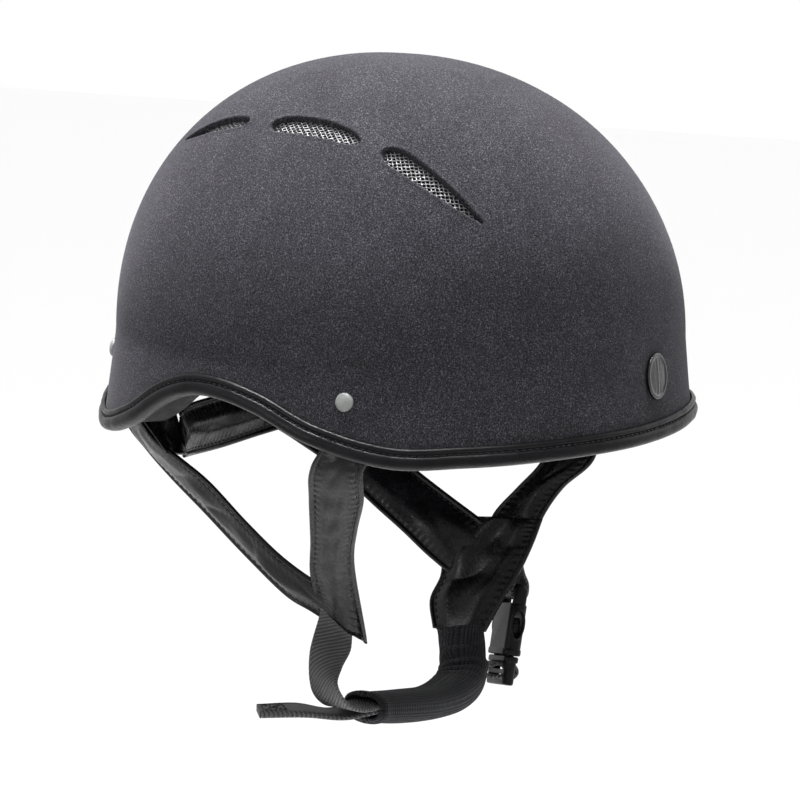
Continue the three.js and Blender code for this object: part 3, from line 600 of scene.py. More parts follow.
def vent_outline(vent, side, grow=0.0):
    """Closed outline of a slot on the dome, and a frame at its middle: origin, run, across and out."""
    steps = 48
    t = (1 - np.cos(np.linspace(0, math.pi, steps))) / 2
    angle, z, half = vent_line(vent, side, t)
    at, out = dome_and_normal(angle, z)
    run = unit(np.gradient(at, axis=0))
    across = unit(np.cross(out, run))
    half = (half + grow)[:, None]
    edges = [at + across * half, at - across * half]
    for edge in edges:
        edge[0] -= run[0] * grow
        edge[-1] += run[-1] * grow
    middle = steps // 2
    frame_at = (at[middle], run[middle], across[middle], out[middle])
    return np.vstack([edges[0], edges[1][::-1]]), frame_at


def flat_coordinates(points, frame_at):
    """Places of points along and across a slot's frame."""
    origin, run, across, _ = frame_at
    return np.stack([(points - origin) @ run, (points - origin) @ across], axis=-1)


def signed_distance(points, polygon):
    """Distance from flat points to a polygon's edge, negative inside."""
    a, b = polygon, np.roll(polygon, -1, axis=0)
    edge = b - a
    rest = points[:, None, :] - a[None]
    t = np.clip((rest * edge).sum(-1) / np.maximum((edge * edge).sum(-1), 1e-9), 0, 1)
    distance = np.linalg.norm(rest - t[..., None] * edge, axis=-1).min(axis=1)
    above = (a[None, :, 1] > points[:, None, 1]) != (b[None, :, 1] > points[:, None, 1])
    slope = edge[:, 0] / np.where(np.abs(edge[:, 1]) < 1e-9, 1e-9, edge[:, 1])
    crossing = points[:, None, 0] < a[None, :, 0] + slope * (points[:, None, 1] - a[None, :, 1])
    inside = (above & crossing).sum(axis=1) % 2 == 1
    return np.where(inside, -distance, distance)


def vent_distance(points):
    """Distance of dome points from the nearest slot outline, negative inside."""
    nearest = np.full(len(points), FAR_FROM_VENTS)
    for side in SIDES.values():
        for vent in VENTS.values():
            outline, frame_at = vent_outline(vent, side)
            close = np.linalg.norm(points - frame_at[0], axis=1) < VENT_REACH
            polygon = flat_coordinates(outline, frame_at)
            distance = signed_distance(flat_coordinates(points[close], frame_at), polygon)
            nearest[close] = np.minimum(nearest[close], distance)
    return nearest


def dome_angles(fine_step, coarse_step):
    """Angles right round, fine where the slots are."""
    bands = ((0, 38, coarse_step), (38, 150, fine_step), (150, 180, coarse_step))
    half = np.concatenate([np.arange(*band) for band in bands])
    return np.radians(np.r_[half, 360 - half[1:][::-1]])


def dome_rows(low, fine_from, fine_to, steps):
    """Heights of each row at each angle, from a varying lower edge to just under the crown."""
    base = 20.0
    skirt = [low + (base - low) * t for t in np.linspace(0, 1, steps["skirt"], endpoint=False)]
    crown = np.linspace(math.asin(fine_to / SHELL_HEIGHT), math.pi / 2, 14, endpoint=False)
    levels = np.r_[np.arange(base, fine_from, steps["coarse"]), np.arange(fine_from, fine_to, steps["fine"]),
                   SHELL_HEIGHT * np.sin(crown)]
    return np.array(skirt + [np.full(len(low), z) for z in levels])


def closed_dome(grid, apex_height):
    """Points and faces of a grid of rings, closed by a fan at the crown."""
    rows, size = grid.shape[:2]
    points = np.vstack([grid.reshape(-1, 3), (0, 0, apex_height)])
    faces = grid_faces(rows, size)
    last = (rows - 1) * size
    faces += [(last + j, last + (j + 1) % size, rows * size) for j in range(size)]
    return points, faces


def grid_normals(grid):
    """Outward direction at each point of a grid of rings."""
    along = np.roll(grid, -1, axis=1) - np.roll(grid, 1, axis=1)
    return unit(np.cross(along, np.gradient(grid, axis=0)))


def make_shell():
    """The flocked outer skin: slots pressed in to the grilles, each with a soft lip and an open floor."""
    angles = dome_angles(0.36, 2.0)
    steps = {"skirt": 16, "coarse": 2.6, "fine": 0.45}
    heights = dome_rows(rim_height(angles), *VENT_BAND, steps)
    grid = dome(np.broadcast_to(angles, heights.shape), heights)
    distance = vent_distance(grid.reshape(-1, 3)).reshape(heights.shape)
    wall = smooth((0.5 - distance) / 1.3)
    lip = 0.3 * np.exp(-((distance - 1.3) / 0.8) ** 2)
    undulation = 0.10 * ripple(grid[..., 0] / 14, grid[..., 1] / 14 + grid[..., 2] / 11, 3)
    grid = grid + grid_normals(grid) * (lip + undulation - VENT_WALL_DEPTH * wall)[..., None]
    points, faces = closed_dome(grid, SHELL_HEIGHT)
    reach = np.r_[distance.ravel(), FAR_FROM_VENTS]
    faces = [f for f in faces if max(reach[v] for v in f) > -1.3]
    shell = new_object("shell_flocked", points, faces, FLOCK, closed=False)
    if shell.data.polygons[0].normal.dot(Vector(points[faces[0][0]])) < 0:
        shell.data.flip_normals()
    belongs(shell, "helmet", "flock", "outer_shell")


def make_liner():
    """Foam wall: a lower ring that shows below, a smooth inner face, and a rough back behind the shell."""
    angles = np.radians(np.arange(0, 360, 2.5))
    low = rim_height(angles) + 1.0
    inner_top = SHELL_HEIGHT - LINER_INNER
    back_top = SHELL_HEIGHT - LINER_BACK_INSET
    edge = (
        (LINER_BACK_INSET, LINER_BACK_RISE), (LINER_OUTER + 1.5, 12), (LINER_OUTER, 1),
        (LINER_OUTER + 0.8, 0), (LINER_INNER - 1.5, 0), (LINER_INNER - 0.3, 1), (LINER_INNER, 3),
    )
    rows = [dome(angles, low + rise, inset) for inset, rise in edge]
    for t in np.sin(np.linspace(0.06, 0.96, 26) * math.pi / 2):
        rows.append(dome(angles, low + 3 + (inner_top - low - 3) * t, LINER_INNER))
    points, faces = closed_dome(np.array(rows), inner_top)
    back = [rows[0]]
    for t in np.sin(np.linspace(0.08, 0.96, 16) * math.pi / 2):
        z = low + LINER_BACK_RISE + (back_top - low - LINER_BACK_RISE) * t
        back.append(dome(angles, z, LINER_BACK_INSET))
    back_points, back_faces = closed_dome(np.array(back), back_top)
    size = len(angles)
    shift = len(points) - size
    faces += [tuple(v if v < size else v + shift for v in f) for f in back_faces]
    liner = new_object("liner_foam", np.vstack([points, back_points[size:]]), faces, FOAM)
    belongs(liner, "helmet", "foam", "impact_liner")


# ---------- rim trim ----------

TRIM_SECTION = (
    (0.55, 6.9), (1.25, 7.0), (2.0, 6.5), (2.35, 5.7), (2.2, 4.9), (1.65, 4.35), (1.55, 4.05), (1.75, 3.75),
    (2.35, 3.2), (2.75, 2.2), (2.8, 1.0), (2.5, -0.3), (1.7, -1.3), (0.4, -1.9), (-1.6, -2.1), (-3.6, -1.8),
    (-4.7, -0.9), (-5.0, 0.6), (-5.0, 4.6), (-4.7, 5.7), (-4.1, 5.9), (-3.7, 5.2), (-3.6, 0.0), (-3.2, -0.6),
    (0.2, -0.6), (0.55, -0.2), (0.55, 3.0),
)


def rim_frames(count):
    """Points along the shell's lower edge, with the outward and upward directions at each."""
    angle = np.linspace(0, TAU, count, endpoint=False)
    at, out = dome_and_normal(angle, rim_height(angle))
    run = unit(np.roll(at, -1, axis=0) - np.roll(at, 1, axis=0))
    return at, out, unit(np.cross(out, run))


def make_trim():
    """Leather binding folded over the rim, and the stitching in its groove."""
    stations = 420
    at, out, up = rim_frames(stations)
    loop = np.array([(a, b, 0.0) for a, b in TRIM_SECTION + TRIM_SECTION[:1]])
    section = curve(loop, np.linspace(0, 1, 57))[:-1, :2]
    turn = np.arange(stations)[:, None]
    swell = 0.12 * ripple(turn * 0.9, section[None, :, 1] * 0.5, 8)
    a = section[None, :, 0] + np.where(section[None, :, 0] > 0.6, swell, 0)
    points = at[:, None] + a[..., None] * out[:, None] + section[None, :, 1, None] * up[:, None]
    faces = grid_faces(stations, len(section), closed=True)
    trim = new_object("rim_trim_binding", points.reshape(-1, 3), faces, TRIM)
    belongs(trim, "helmet", "trim", "rim_trim")
    seam = at + TRIM_SEAM[0] * out + TRIM_SEAM[1] * up
    sewn = stitches(np.vstack([seam, seam[:1]]), np.vstack([out, out[:1]]), 3.1, 2.3, 0.3)
    belongs(new_object("rim_trim_stitching", *sewn, THREAD), "helmet", "trim")


# ---------- grilles in the slots ----------

def wire_path(flat, weave, frame_at):
    """A wire's points, from flat places in a slot's frame to the grille's depth under the shell."""
    origin, run, across, _ = frame_at
    ground = origin + flat[:, :1] * run + flat[:, 1:] * across
    on_shell, normal = dome_and_normal(dome_angle(ground), ground[:, 2])
    lift = ((on_shell - ground) * normal).sum(axis=1)
    return ground + normal * (lift - MESH_DEPTH + weave)[:, None]


def make_grille(place, vent, side_name):
    """Two layers of woven wires, each cut off where it passes the slot's outline."""
    outline, frame_at = vent_outline(vent, SIDES[side_name], 0.9)
    polygon = flat_coordinates(outline, frame_at)
    low, high = polygon.min(axis=0), polygon.max(axis=0)
    reach = np.linalg.norm(high - low)
    s = np.arange(-reach / 2, reach / 2, 0.4)
    parts = []
    for layer, angle in enumerate((WIRE_TURN, -WIRE_TURN)):
        direction = np.array((math.cos(angle), math.sin(angle)))
        aside = np.array((-direction[1], direction[0]))
        weave = 0.2 * np.sin(s / WIRE_PITCH * math.pi / math.sin(2 * WIRE_TURN) + layer * math.pi)
        for shift in np.arange(-reach / 2, reach / 2, WIRE_PITCH):
            flat = (low + high) / 2 + s[:, None] * direction + shift * aside
            inside = signed_distance(flat, polygon) < 0
            ends = np.flatnonzero(np.diff(np.r_[0, inside.astype(int), 0]))
            for first, last in zip(ends[::2], ends[1::2]):
                if last - first >= 4:
                    path = wire_path(flat[first:last], weave[first:last], frame_at)
                    parts.append(tube(path, WIRE_RADIUS, 5))
    grille = new_object(f"grille_{side_name}_{place}", *merged(parts), WIRE)
    belongs(grille, "helmet", "wire_mesh", f"vent_mesh_{side_name}_{place}")


# ---------- rivets and badge ----------

def lathe(profile, at, out):
    """Rings of a turned form: profile of radius and height above at, along out."""
    profile = np.asarray(profile, float)
    across = unit(np.cross(out, ASKEW))
    other = np.cross(out, across)
    turn = np.linspace(0, TAU, 36, endpoint=False)
    ring = np.cos(turn)[:, None] * across + np.sin(turn)[:, None] * other
    return at + profile[:, 0, None, None] * ring + profile[:, 1, None, None] * out


def make_rivet(place, side_name):
    degrees, z = RIVETS[place]
    at, out = dome_and_normal(SIDES[side_name] * math.radians(degrees), z)
    profile = ((1.6, -8.2), (1.6, -0.4), (3.7, -0.35), (3.95, -0.1), (4.02, 0.25), (3.9, 0.62), (3.6, 0.95),
               (3.15, 1.25), (2.6, 1.5), (1.9, 1.7), (1.2, 1.82), (0.5, 1.88), (0.1, 1.9))
    rivet = ringed_object(f"rivet_{side_name}_{place}_head", lathe(profile, at, out), RIVET)
    belongs(rivet, "helmet", "rivet", f"rivet_{side_name}_{place}")


def paint_washers():
    for side_name in SIDES:
        for place in RIVETS:
            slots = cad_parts[f"rivet_washer_{side_name}_{place}"].data.materials
            slots.clear()
            slots.append(RIVET)


def make_badge():
    """A plain oval badge: raised border, sunk field and a row of upright ribs."""
    low, high = (np.array(c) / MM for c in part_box("front_badge"))
    centre = (low + high) / 2
    wide, tall = (high[0] - low[0]) / 2, (high[2] - low[2]) / 2
    lean = math.radians(4.5)
    up = np.array((0, math.sin(lean), math.cos(lean)))
    out = np.array((0, -math.cos(lean), math.sin(lean)))
    right = np.array((1.0, 0, 0))
    turn = np.linspace(0, TAU, 72, endpoint=False)
    rings = ((1.0, -0.7), (1.0, 0.15), (0.985, 0.45), (0.95, 0.62), (0.9, 0.66), (0.85, 0.6), (0.82, 0.38),
             (0.8, 0.28), (0.72, 0.3), (0.55, 0.42), (0.35, 0.5), (0.15, 0.53), (0.02, 0.54))
    points = []
    for scale, height in rings:
        x, z = wide * scale * np.cos(turn), tall * scale * np.sin(turn)
        ribs = 0.12 * np.cos(x / 1.3 * math.pi) * (scale < 0.78)
        points.append(centre + x[:, None] * right + z[:, None] * up + (height + ribs)[:, None] * out)
    belongs(ringed_object("badge_oval", points, BADGE), "helmet", "badge", "front_badge")


# ---------- padded straps ----------

def edge_lines(edges, spacing):
    """Even-length samples of a strap's two edges, centre, and its run, wide and thick directions."""
    rough = [curve(e, np.linspace(0, 1, 200)) for e in edges]
    centre = (rough[0] + rough[1]) / 2
    length = np.r_[0, np.cumsum(np.linalg.norm(np.diff(centre, axis=0), axis=1))]
    count = max(int(length[-1] / spacing), 8)
    t = np.interp(np.linspace(0, length[-1], count), length, np.linspace(0, 1, 200))
    first, second = curve(edges[0], t), curve(edges[1], t)
    centre = (first + second) / 2
    run = unit(np.gradient(first, axis=0) + np.gradient(second, axis=0))
    wide = second - first
    width = np.linalg.norm(wide, axis=1)
    wide = unit(wide)
    thick = unit(np.cross(run, wide))
    return {"t": t, "centre": centre, "run": run, "wide": wide, "width": width, "thick": thick,
            "length": np.linspace(0, length[-1], count)}


EDGE_STEPS = np.array((0.0, 0.12, 0.35, 0.7, 1.1, 1.5, 1.9, 2.3, 2.7, 3.1, 3.6, 4.2, 5.0, 6.2, 7.8))


def strap_section(width):
    """Places across a strap, as distances from its middle, close together near both edges."""
    steps = EDGE_STEPS * min(1.0, width / 2 / STRAP_FULL_HALF_WIDTH)
    middle = np.linspace(-(width / 2 - steps[-1]), width / 2 - steps[-1], 12)[1:-1]
    return np.r_[-width / 2 + steps, middle, width / 2 - steps[::-1]]


def strap_heights(across, width, along, half, slack, seed):
    """Heights of a strap's upper and lower faces: corded edge, sewn groove, puckers and a loose cover."""
    edge = width / 2 - np.abs(across)
    scale = min(1.0, width / 2 / STRAP_FULL_HALF_WIDTH)
    bead, groove = STRAP_BEAD * scale, STRAP_GROOVE * scale
    cord = np.sqrt(np.maximum(bead * bead - (edge - bead) ** 2, 0.0))
    pucker = 0.5 + 0.5 * np.sin(along / 3.3 * TAU + 1.5 * np.sin(along / 17.0))
    rise = smooth((edge - groove) / (7.5 * scale))
    pad = 0.55 + (half - 0.55) * (0.5 * rise ** 0.5 + 0.5 * rise)
    sewn = 0.45 * pucker * np.exp(-((edge - groove - 1.1) / 1.5) ** 2)
    body = np.where(edge > groove * 0.75, pad + sewn, 0.5)
    height = np.maximum(np.maximum(cord * 1.05, body), 0.2)
    faces = []
    for face_seed in (seed, seed + 40):
        folds = (0.42 * ripple(along / 8, across / 5, face_seed)
                 + 0.12 * ripple(along / 3.2, across / 3.6, face_seed + 1)
                 + 0.45 * crease(along / 11, across / 6.5, face_seed + 2))
        faces.append(height + slack * rise * folds)
    return faces


def strap_stitching(name, lines, tucked):
    """Threads in the grooves along both edges, on both faces, beyond the length tucked under the shell."""
    start = int(tucked / STRAP_SPACING)
    width = lines["width"]
    groove = STRAP_GROOVE * np.minimum(1.0, width / 2 / STRAP_FULL_HALF_WIDTH)
    parts = []
    for side in (-1, 1):
        for face in (-1, 1):
            outward = face * lines["thick"]
            line = lines["centre"] + side * (width / 2 - groove)[:, None] * lines["wide"] + 0.66 * outward
            parts.append(stitches(line[start:-2], outward[start:-2], 3.3, 2.3, 0.25))
    return new_object(f"{name}_stitching", *merged(parts), THREAD)


def padded_strap(name, node, shape, seed, slack=1.4, tucked=0.0, end_scale=0.6):
    """A stuffed strap between two edges, and its stitching; a shape may be wider than its CAD solid."""
    lines = edge_lines(shape["edges"], STRAP_SPACING)
    lines["width"] = lines["width"] + shape.get("wider", 0) * smooth((lines["length"] - tucked) / 12)
    thicknesses = shape["thicknesses"]
    half = np.interp(lines["t"], np.linspace(0, 1, len(thicknesses)), thicknesses) / 2
    last = len(half) - 1
    rings, cloth = [], []
    for i, width in enumerate(lines["width"]):
        across = strap_section(width)
        along = lines["length"][i]
        top, under = strap_heights(across, width, along, half[i], slack, seed)
        shrink = 1 - (1 - end_scale) * smooth(1 - min(i, last - i) / 3.0)
        flat = lines["centre"][i] + across[:, None] * lines["wide"][i]
        face_up = flat + (top * shrink)[:, None] * lines["thick"][i]
        face_down = flat - (under * shrink)[:, None] * lines["thick"][i]
        rings.append(np.vstack([face_up, face_down[::-1]]))
        cloth.append(cloth_row(along, across))
    piece = ringed_object(name, rings, HARNESS, cloth)
    sewn = strap_stitching(name, lines, tucked)
    belongs(piece, "helmet", "harness", node)
    belongs(sewn, "helmet", "harness")


def tab_edge(top, *degrees):
    """Three points of a strap's edge under the shell, from its rivet tab down to the rim."""
    levels = ((top, TAB_MIDDLE), (-16, TAB_MIDDLE), (-30, RIM_MIDDLE))
    return [under_shell(angle, z, depth) for angle, (z, depth) in zip(degrees, levels)]


STRAPS = {
    "right_front": {
        "edges": (
            (*tab_edge(0, -77.5, -78.7, -79), (-105, -24.5, -41), (-94.5, -17.5, -58), (-82.5, -10.5, -78.5),
             (-72.5, -4, -95.6), (-64.5, -3, -113)),
            (*tab_edge(0, -69.1, -68.9, -67.6), (-103.5, -49, -41), (-95.5, -43.5, -56), (-86.5, -35, -71),
             (-77, -27.5, -87), (-54, -20, -128.5))),
        "thicknesses": (2.4, 2.4, 3, 4.6, 5, 5, 5, 5), "wider": 1.6},
    "left_front": {
        "edges": (
            (*tab_edge(0, 69.1, 68.9, 67.6), (101, -57, -44), (95, -56, -56), (89.5, -54.5, -69),
             (84, -42, -82), (79.5, -34.5, -95), (75.8, -31.5, -106)),
            (*tab_edge(0, 77.5, 78.7, 78.5), (103, -33, -44), (95.5, -32, -57), (88, -28, -72),
             (83, -18.5, -84), (78.5, -9, -96), (74.6, -5, -108.5))),
        "thicknesses": (2.4, 2.4, 3, 4.6, 5, 5, 5, 5, 5)},
    "right_rear": {
        "edges": (
            (*tab_edge(2, -155.5, -155.5, -155), (-46, 110.5, -44), (-46.5, 99, -56), (-52, 82.5, -66),
             (-60, 60, -77.5), (-63.5, 34, -95.5), (-64.5, 12, -110.5), (-64, 1.5, -115), (-59, -8, -122)),
            (*tab_edge(2, -144.5, -144.5, -143.5), (-63, 90, -40), (-68, 80, -46.5), (-71, 65, -53),
             (-74, 49, -60.5), (-75.5, 28.5, -76), (-74, 13, -88.5), (-71.8, 3, -95.5), (-69, -8, -102))),
        "thicknesses": (2.4, 2.4, 3, 4.4, 4.6, 4.6, 4.6, 4.6, 4.6, 4.6, 4.2)},
    "left_rear": {
        "edges": (
            (*tab_edge(2, 144.5, 144.5, 143.5), (62, 91, -41), (66, 82, -49), (70.5, 66, -57.5),
             (74, 50, -66), (76, 33, -78.5), (76, 14, -89.5), (75.5, -1, -97.5), (75, -12, -103.5)),
            (*tab_edge(2, 155.5, 155.5, 155), (46, 110.5, -44), (46.5, 99, -56), (53, 84, -67),
             (60, 68, -79), (63, 47, -96), (64, 31, -107.5), (65.5, 20.5, -116.2), (68, 9, -125))),
        "thicknesses": (2.4, 2.4, 3, 4.4, 4.6, 4.6, 4.6, 4.6, 4.6, 4.6, 4.2)},
}
BUCKLE_GUARD = {
    "edges": (
        ((78.9, -34.2, -96.4), (74.5, -32, -107), (69, -27.5, -121), (64.5, -23, -131),
         (57.9, -16.2, -147.5)),
        ((76.3, 0.5, -98.3), (71.5, 13.5, -117), (67.5, 13.5, -127), (62.5, 16, -137),
         (56.9, 11.2, -149))),
    "thicknesses": (5, 5, 4.6, 4.4, 4)}
NAPE_PAD = {
    "edges": (
        ((-46, 82, -37), (-28, 90, -37.5), (0, 93, -38), (28, 90, -37.5), (46, 82, -37)),
        ((-46, 80, -58), (-28, 87, -60.5), (0, 90, -62), (28, 87, -60.5), (46, 80, -58))),
    "thicknesses": (6, 8, 8, 8, 6)}


def make_straps():
    for seed, (name, strap) in enumerate(STRAPS.items()):
        padded_strap(f"strap_{name}", f"harness_{name}", strap, 20 + seed * 5, tucked=40)
    padded_strap("guard_flap", "buckle_guard", BUCKLE_GUARD, 51, slack=1.9, end_scale=0.9)
    padded_strap("nape_cushion", "nape_pad", NAPE_PAD, 61, slack=1.3)


def make_nape_lining():
    """Crumpled lining between each end of the nape pad and the rear strap beside it."""
    corners = (((-67, 90, -36), (-45, 86, -36)), ((-70.5, 72.5, -51.5), (-45, 79.5, -57)))
    (a, b), (c, d) = (tuple(np.array(p, float) for p in row) for row in corners)
    u, v = np.meshgrid(np.linspace(0, 1, 34), np.linspace(0, 1, 34))
    shares = (((1 - v) * (1 - u), a), ((1 - v) * u, b), (v * (1 - u), c), (v * u, d))
    flat = sum(share[..., None] * corner for share, corner in shares)
    out = unit(np.cross(b - a, c - a))
    fade = np.minimum(1, 6 * np.minimum(u, 1 - u)) * np.minimum(1, 6 * np.minimum(v, 1 - v))
    creases = 1.5 * ripple(u * 9 + v * 4, v * 3, 71) + 0.7 * np.abs(ripple(u * 16, v * 9, 72))
    sheet = flat + (fade * creases + 2.4 * np.sin(np.pi * u) * np.sin(np.pi * v))[..., None] * out
    for name, sign in SIDES.items():
        mirror = np.array((-sign, 1.0, 1.0))
        points = np.vstack([(face * mirror).reshape(-1, 3) for face in (sheet, sheet - 0.9 * out)])
        piece = new_object(f"nape_lining_{name}", points, slab_faces(*u.shape), HARNESS)
        belongs(piece, "helmet", "harness")


# ---------- pads ----------

def pad_block(angles, low, high, outer, inner):
    """A closed pad between two insets over a patch of the dome, thinner at its borders."""
    rows, columns = 14, len(angles)
    v = np.linspace(0, 1, rows)
    u = np.linspace(0, 1, columns)
    z = low + (high - low) * v[:, None]
    border = np.sin(np.pi * v)[:, None] ** 0.35 * np.clip(np.sin(np.pi * u), 0.04, 1)[None] ** 0.25
    insets = (np.full_like(z, outer), outer + 0.8 + (inner - outer - 0.8) * border)
    grids = [dome(np.broadcast_to(angles, z.shape), z, inset) for inset in insets]
    return np.vstack([g.reshape(-1, 3) for g in grids]), slab_faces(rows, columns)


def positions(piece):
    return np.array([v.co[:] for v in piece.data.vertices])


def inflate(piece):
    """Cloth under pressure for a few frames, then no point moves further than PAD_GROWTH."""
    remesh = piece.modifiers.new("remesh", "REMESH")
    remesh.mode = "VOXEL"
    remesh.voxel_size = PAD_VOXEL * MM
    apply_modifiers(piece)
    blow_up(piece)
    soften = piece.modifiers.new("soften", "SMOOTH")
    soften.factor = 0.5
    soften.iterations = 3
    finer = piece.modifiers.new("finer", "SUBSURF")
    finer.levels = finer.render_levels = 1
    apply_modifiers(piece)


def blow_up(piece):
    before = positions(piece)
    cloth = piece.modifiers.new("cloth", "CLOTH")
    cloth.settings.quality = 5
    cloth.settings.mass = 0.2
    cloth.settings.use_pressure = True
    cloth.settings.uniform_pressure_force = PAD_PRESSURE
    cloth.settings.tension_stiffness = 12
    cloth.settings.effector_weights.gravity = 0
    held = piece.vertex_groups.new(name="held")
    held.add([int(i) for i in np.flatnonzero(inset_of(before / MM) < PAD_HELD_INSET)], 1.0, "REPLACE")
    cloth.settings.vertex_group_mass = "held"
    scene = bpy.context.scene
    for number in range(1, 21):
        scene.frame_set(number)
    apply_modifiers(piece)
    scene.frame_set(1)
    moved = positions(piece) - before
    far = np.linalg.norm(moved, axis=1, keepdims=True)
    limited = before + moved * np.minimum(1, PAD_GROWTH * MM / np.maximum(far, 1e-9))
    piece.data.vertices.foreach_set("co", limited.ravel())
    piece.vertex_groups.clear()


def inset_of(points):
    """How far each point lies under the shell's outer face, roughly."""
    x, y, z = points.T
    level = np.clip(z / SHELL_HEIGHT, -1, 0.98)
    surface = dome(dome_angle(points), level * SHELL_HEIGHT)
    below = np.linalg.norm(surface[:, :2], axis=1) - np.hypot(x, y)
    share = 1 - (x / SHELL_HALF_WIDTH) ** 2 - (y / SHELL_FRONT) ** 2
    rise = SHELL_HEIGHT * np.sqrt(np.maximum(share, 0)) - z
    return np.minimum(below, np.maximum(rise, 0))


def sew_channels(piece, distance, depth):
    """Presses seams into a pad's inner face where a distance field crosses zero."""
    points = positions(piece) / MM
    normals = np.array([v.normal[:] for v in piece.data.vertices])
    inward = np.array((0.0, 0.0, 20.0)) - points
    facing = np.clip((unit(inward) * normals).sum(axis=1) * 2, 0, 1)
    seam = np.exp(-(distance(points) / depth) ** 2)
    wrinkle = 0.22 * ripple(points[:, 0] / 6 + points[:, 1] / 7, points[:, 2] / 4, 77)
    points += normals * (facing * (wrinkle - depth * seam))[:, None]
    piece.data.vertices.foreach_set("co", (points * MM).ravel())
    piece.data.update()


def make_pad(name, points, faces, seam, depth):
    """A comfort pad: remeshed, blown up, and sewn where the seam distance is zero."""
    pad = new_object(f"{name}_stuffed", points, faces, LINING)
    inflate(pad)
    sew_channels(pad, seam, depth)
    belongs(pad, "helmet", "lining", name)


def make_pads():
    spans = {
        "brow_pad": (-61, 61, 3.5, 7.5, 60), "rear_pad": (119, 241, 4.5, 11.5, 60),
        "side_pad_left": (69, 111, 4.5, 21.5, 26), "side_pad_right": (-111, -69, 4.5, 21.5, 26),
    }
    for name, (start, end, rise, high, columns) in spans.items():
        angles = np.radians(np.linspace(start, end, columns))
        block = pad_block(angles, rim_height(angles) + rise, high, PAD_OUTER + 0.4, PAD_INNER - 1.8)
        if "side" in name:
            make_pad(name, *block, lambda p: p[:, 2] + 4, 1.6)
        else:
            make_pad(name, *block, lambda p: np.abs((np.abs(p[:, 0]) + 16) % 32 - 16), 1.6)


def make_crown_pad():
    """A round pad under the crown: an outer and an inner cap, each flat at its top, joined at the edge."""
    turn = np.radians(np.arange(0, 360, 6))
    rings, size = 9, len(turn)
    outer_top = SHELL_HEIGHT - PAD_OUTER - 1
    inner_low, inner_top = CROWN_PAD_EDGE + 0.3, SHELL_HEIGHT - PAD_INNER + 2.4
    rows = []
    for t in np.linspace(0, 1, rings):
        z = CROWN_PAD_EDGE + (outer_top - CROWN_PAD_EDGE) * t
        rows.append(dome(turn, np.full(size, z), PAD_OUTER + 0.5))
    for t in np.linspace(0.97, 0, rings):
        z = inner_low + (inner_top - inner_low) * t
        rows.append(dome(turn, np.full(size, z), PAD_INNER - 2.4 - 3.5 * (1 - t) ** 3))
    faces = grid_faces(rings, size) + grid_faces(rings, size, offset=rings * size)
    faces.append(tuple((rings - 1) * size + j for j in range(size)))
    faces.append(tuple(rings * size + j for j in range(size - 1, -1, -1)))
    last = (2 * rings - 1) * size
    faces += [(j, (j + 1) % size, last + (j + 1) % size, last + j) for j in range(size)]
    points = np.array(rows).reshape(-1, 3)
    make_pad("crown_pad", points, faces, lambda p: np.hypot(p[:, 0], p[:, 1]) - 20, 1.5)


# ---------- chin sleeve ----------

SLEEVE_CENTRES = (
    (57.2, -3.2, -147.6), (56.6, -4.5, -156), (51, -7.5, -164.5), (40, -11, -168.5),
    (24, -14.5, -169.5), (5, -16.5, -168.5), (-15, -17, -165.5), (-32, -15, -162.5), (-44, -12, -160.5),
)
SLEEVE_WIDTHS = (26, 24.5, 24, 24, 23.5, 23.5, 23.5, 24, 25)
SLEEVE_THICKNESSES = (9, 10, 12, 14, 14.5, 14.5, 14, 13, 12)


def sleeve_frame(t):
    """Centre, run, width and thickness directions of the sleeve, as in the CAD model."""
    t = np.atleast_1d(np.asarray(t, float))
    at = curve(SLEEVE_CENTRES, t)
    step = 1e-3
    before = curve(SLEEVE_CENTRES, np.maximum(t - step, 0))
    after = curve(SLEEVE_CENTRES, np.minimum(t + step, 1))
    run = unit(after - before)
    thick = unit(np.cross(np.array((0, 1.0, 0)), run))
    return at, run, np.cross(run, thick), thick


def sleeve_point(t, across, up):
    """A point in the sleeve's section at t, across and up from its centre."""
    at, _, wide, thick = sleeve_frame(t)
    return (at + wide * across + thick * up)[0]


def sleeve_swell(along, round_, turn, length):
    """How far the knit stands out from its plain oval: folds, cuff ribs and rolled mouth."""
    c, s = np.cos(turn), np.sin(turn)
    upper = np.clip(s, 0, 1)[None, :]
    bend = np.exp(-((along - 24) / 13) ** 2) * upper
    folds = -1.8 * bend * (0.5 + 0.5 * np.sin(along / 7.4 * TAU + 0.9 * np.sin(round_ / 9))) ** 1.5
    soft = 0.8 * ripple(along / 15, round_ / 11, 91) + 0.3 * ripple(along / 5.5, round_ / 6, 92)
    crush = -1.2 * np.exp(-((along - 62) / 10) ** 2) * upper ** 2
    arch = CUFF_ARCH[0] + CUFF_ARCH[1] * (c * c)[None, :]
    cuff = smooth((arch - along) / 1.6 + 0.5)
    ribs = 0.3 * np.abs(np.sin(turn * 24))[None, :] * cuff - 0.9 * cuff
    roll = 0.5 * np.exp(-((along - arch - 2.2) / 1.8) ** 2)
    end = length - along
    lip = 0.8 * np.exp(-((end - 2.5) / 2.0) ** 2) - 1.2 * smooth((1.2 - end) / 1.2)
    return folds + soft * (1 - 0.7 * cuff) + crush + ribs + roll + lip


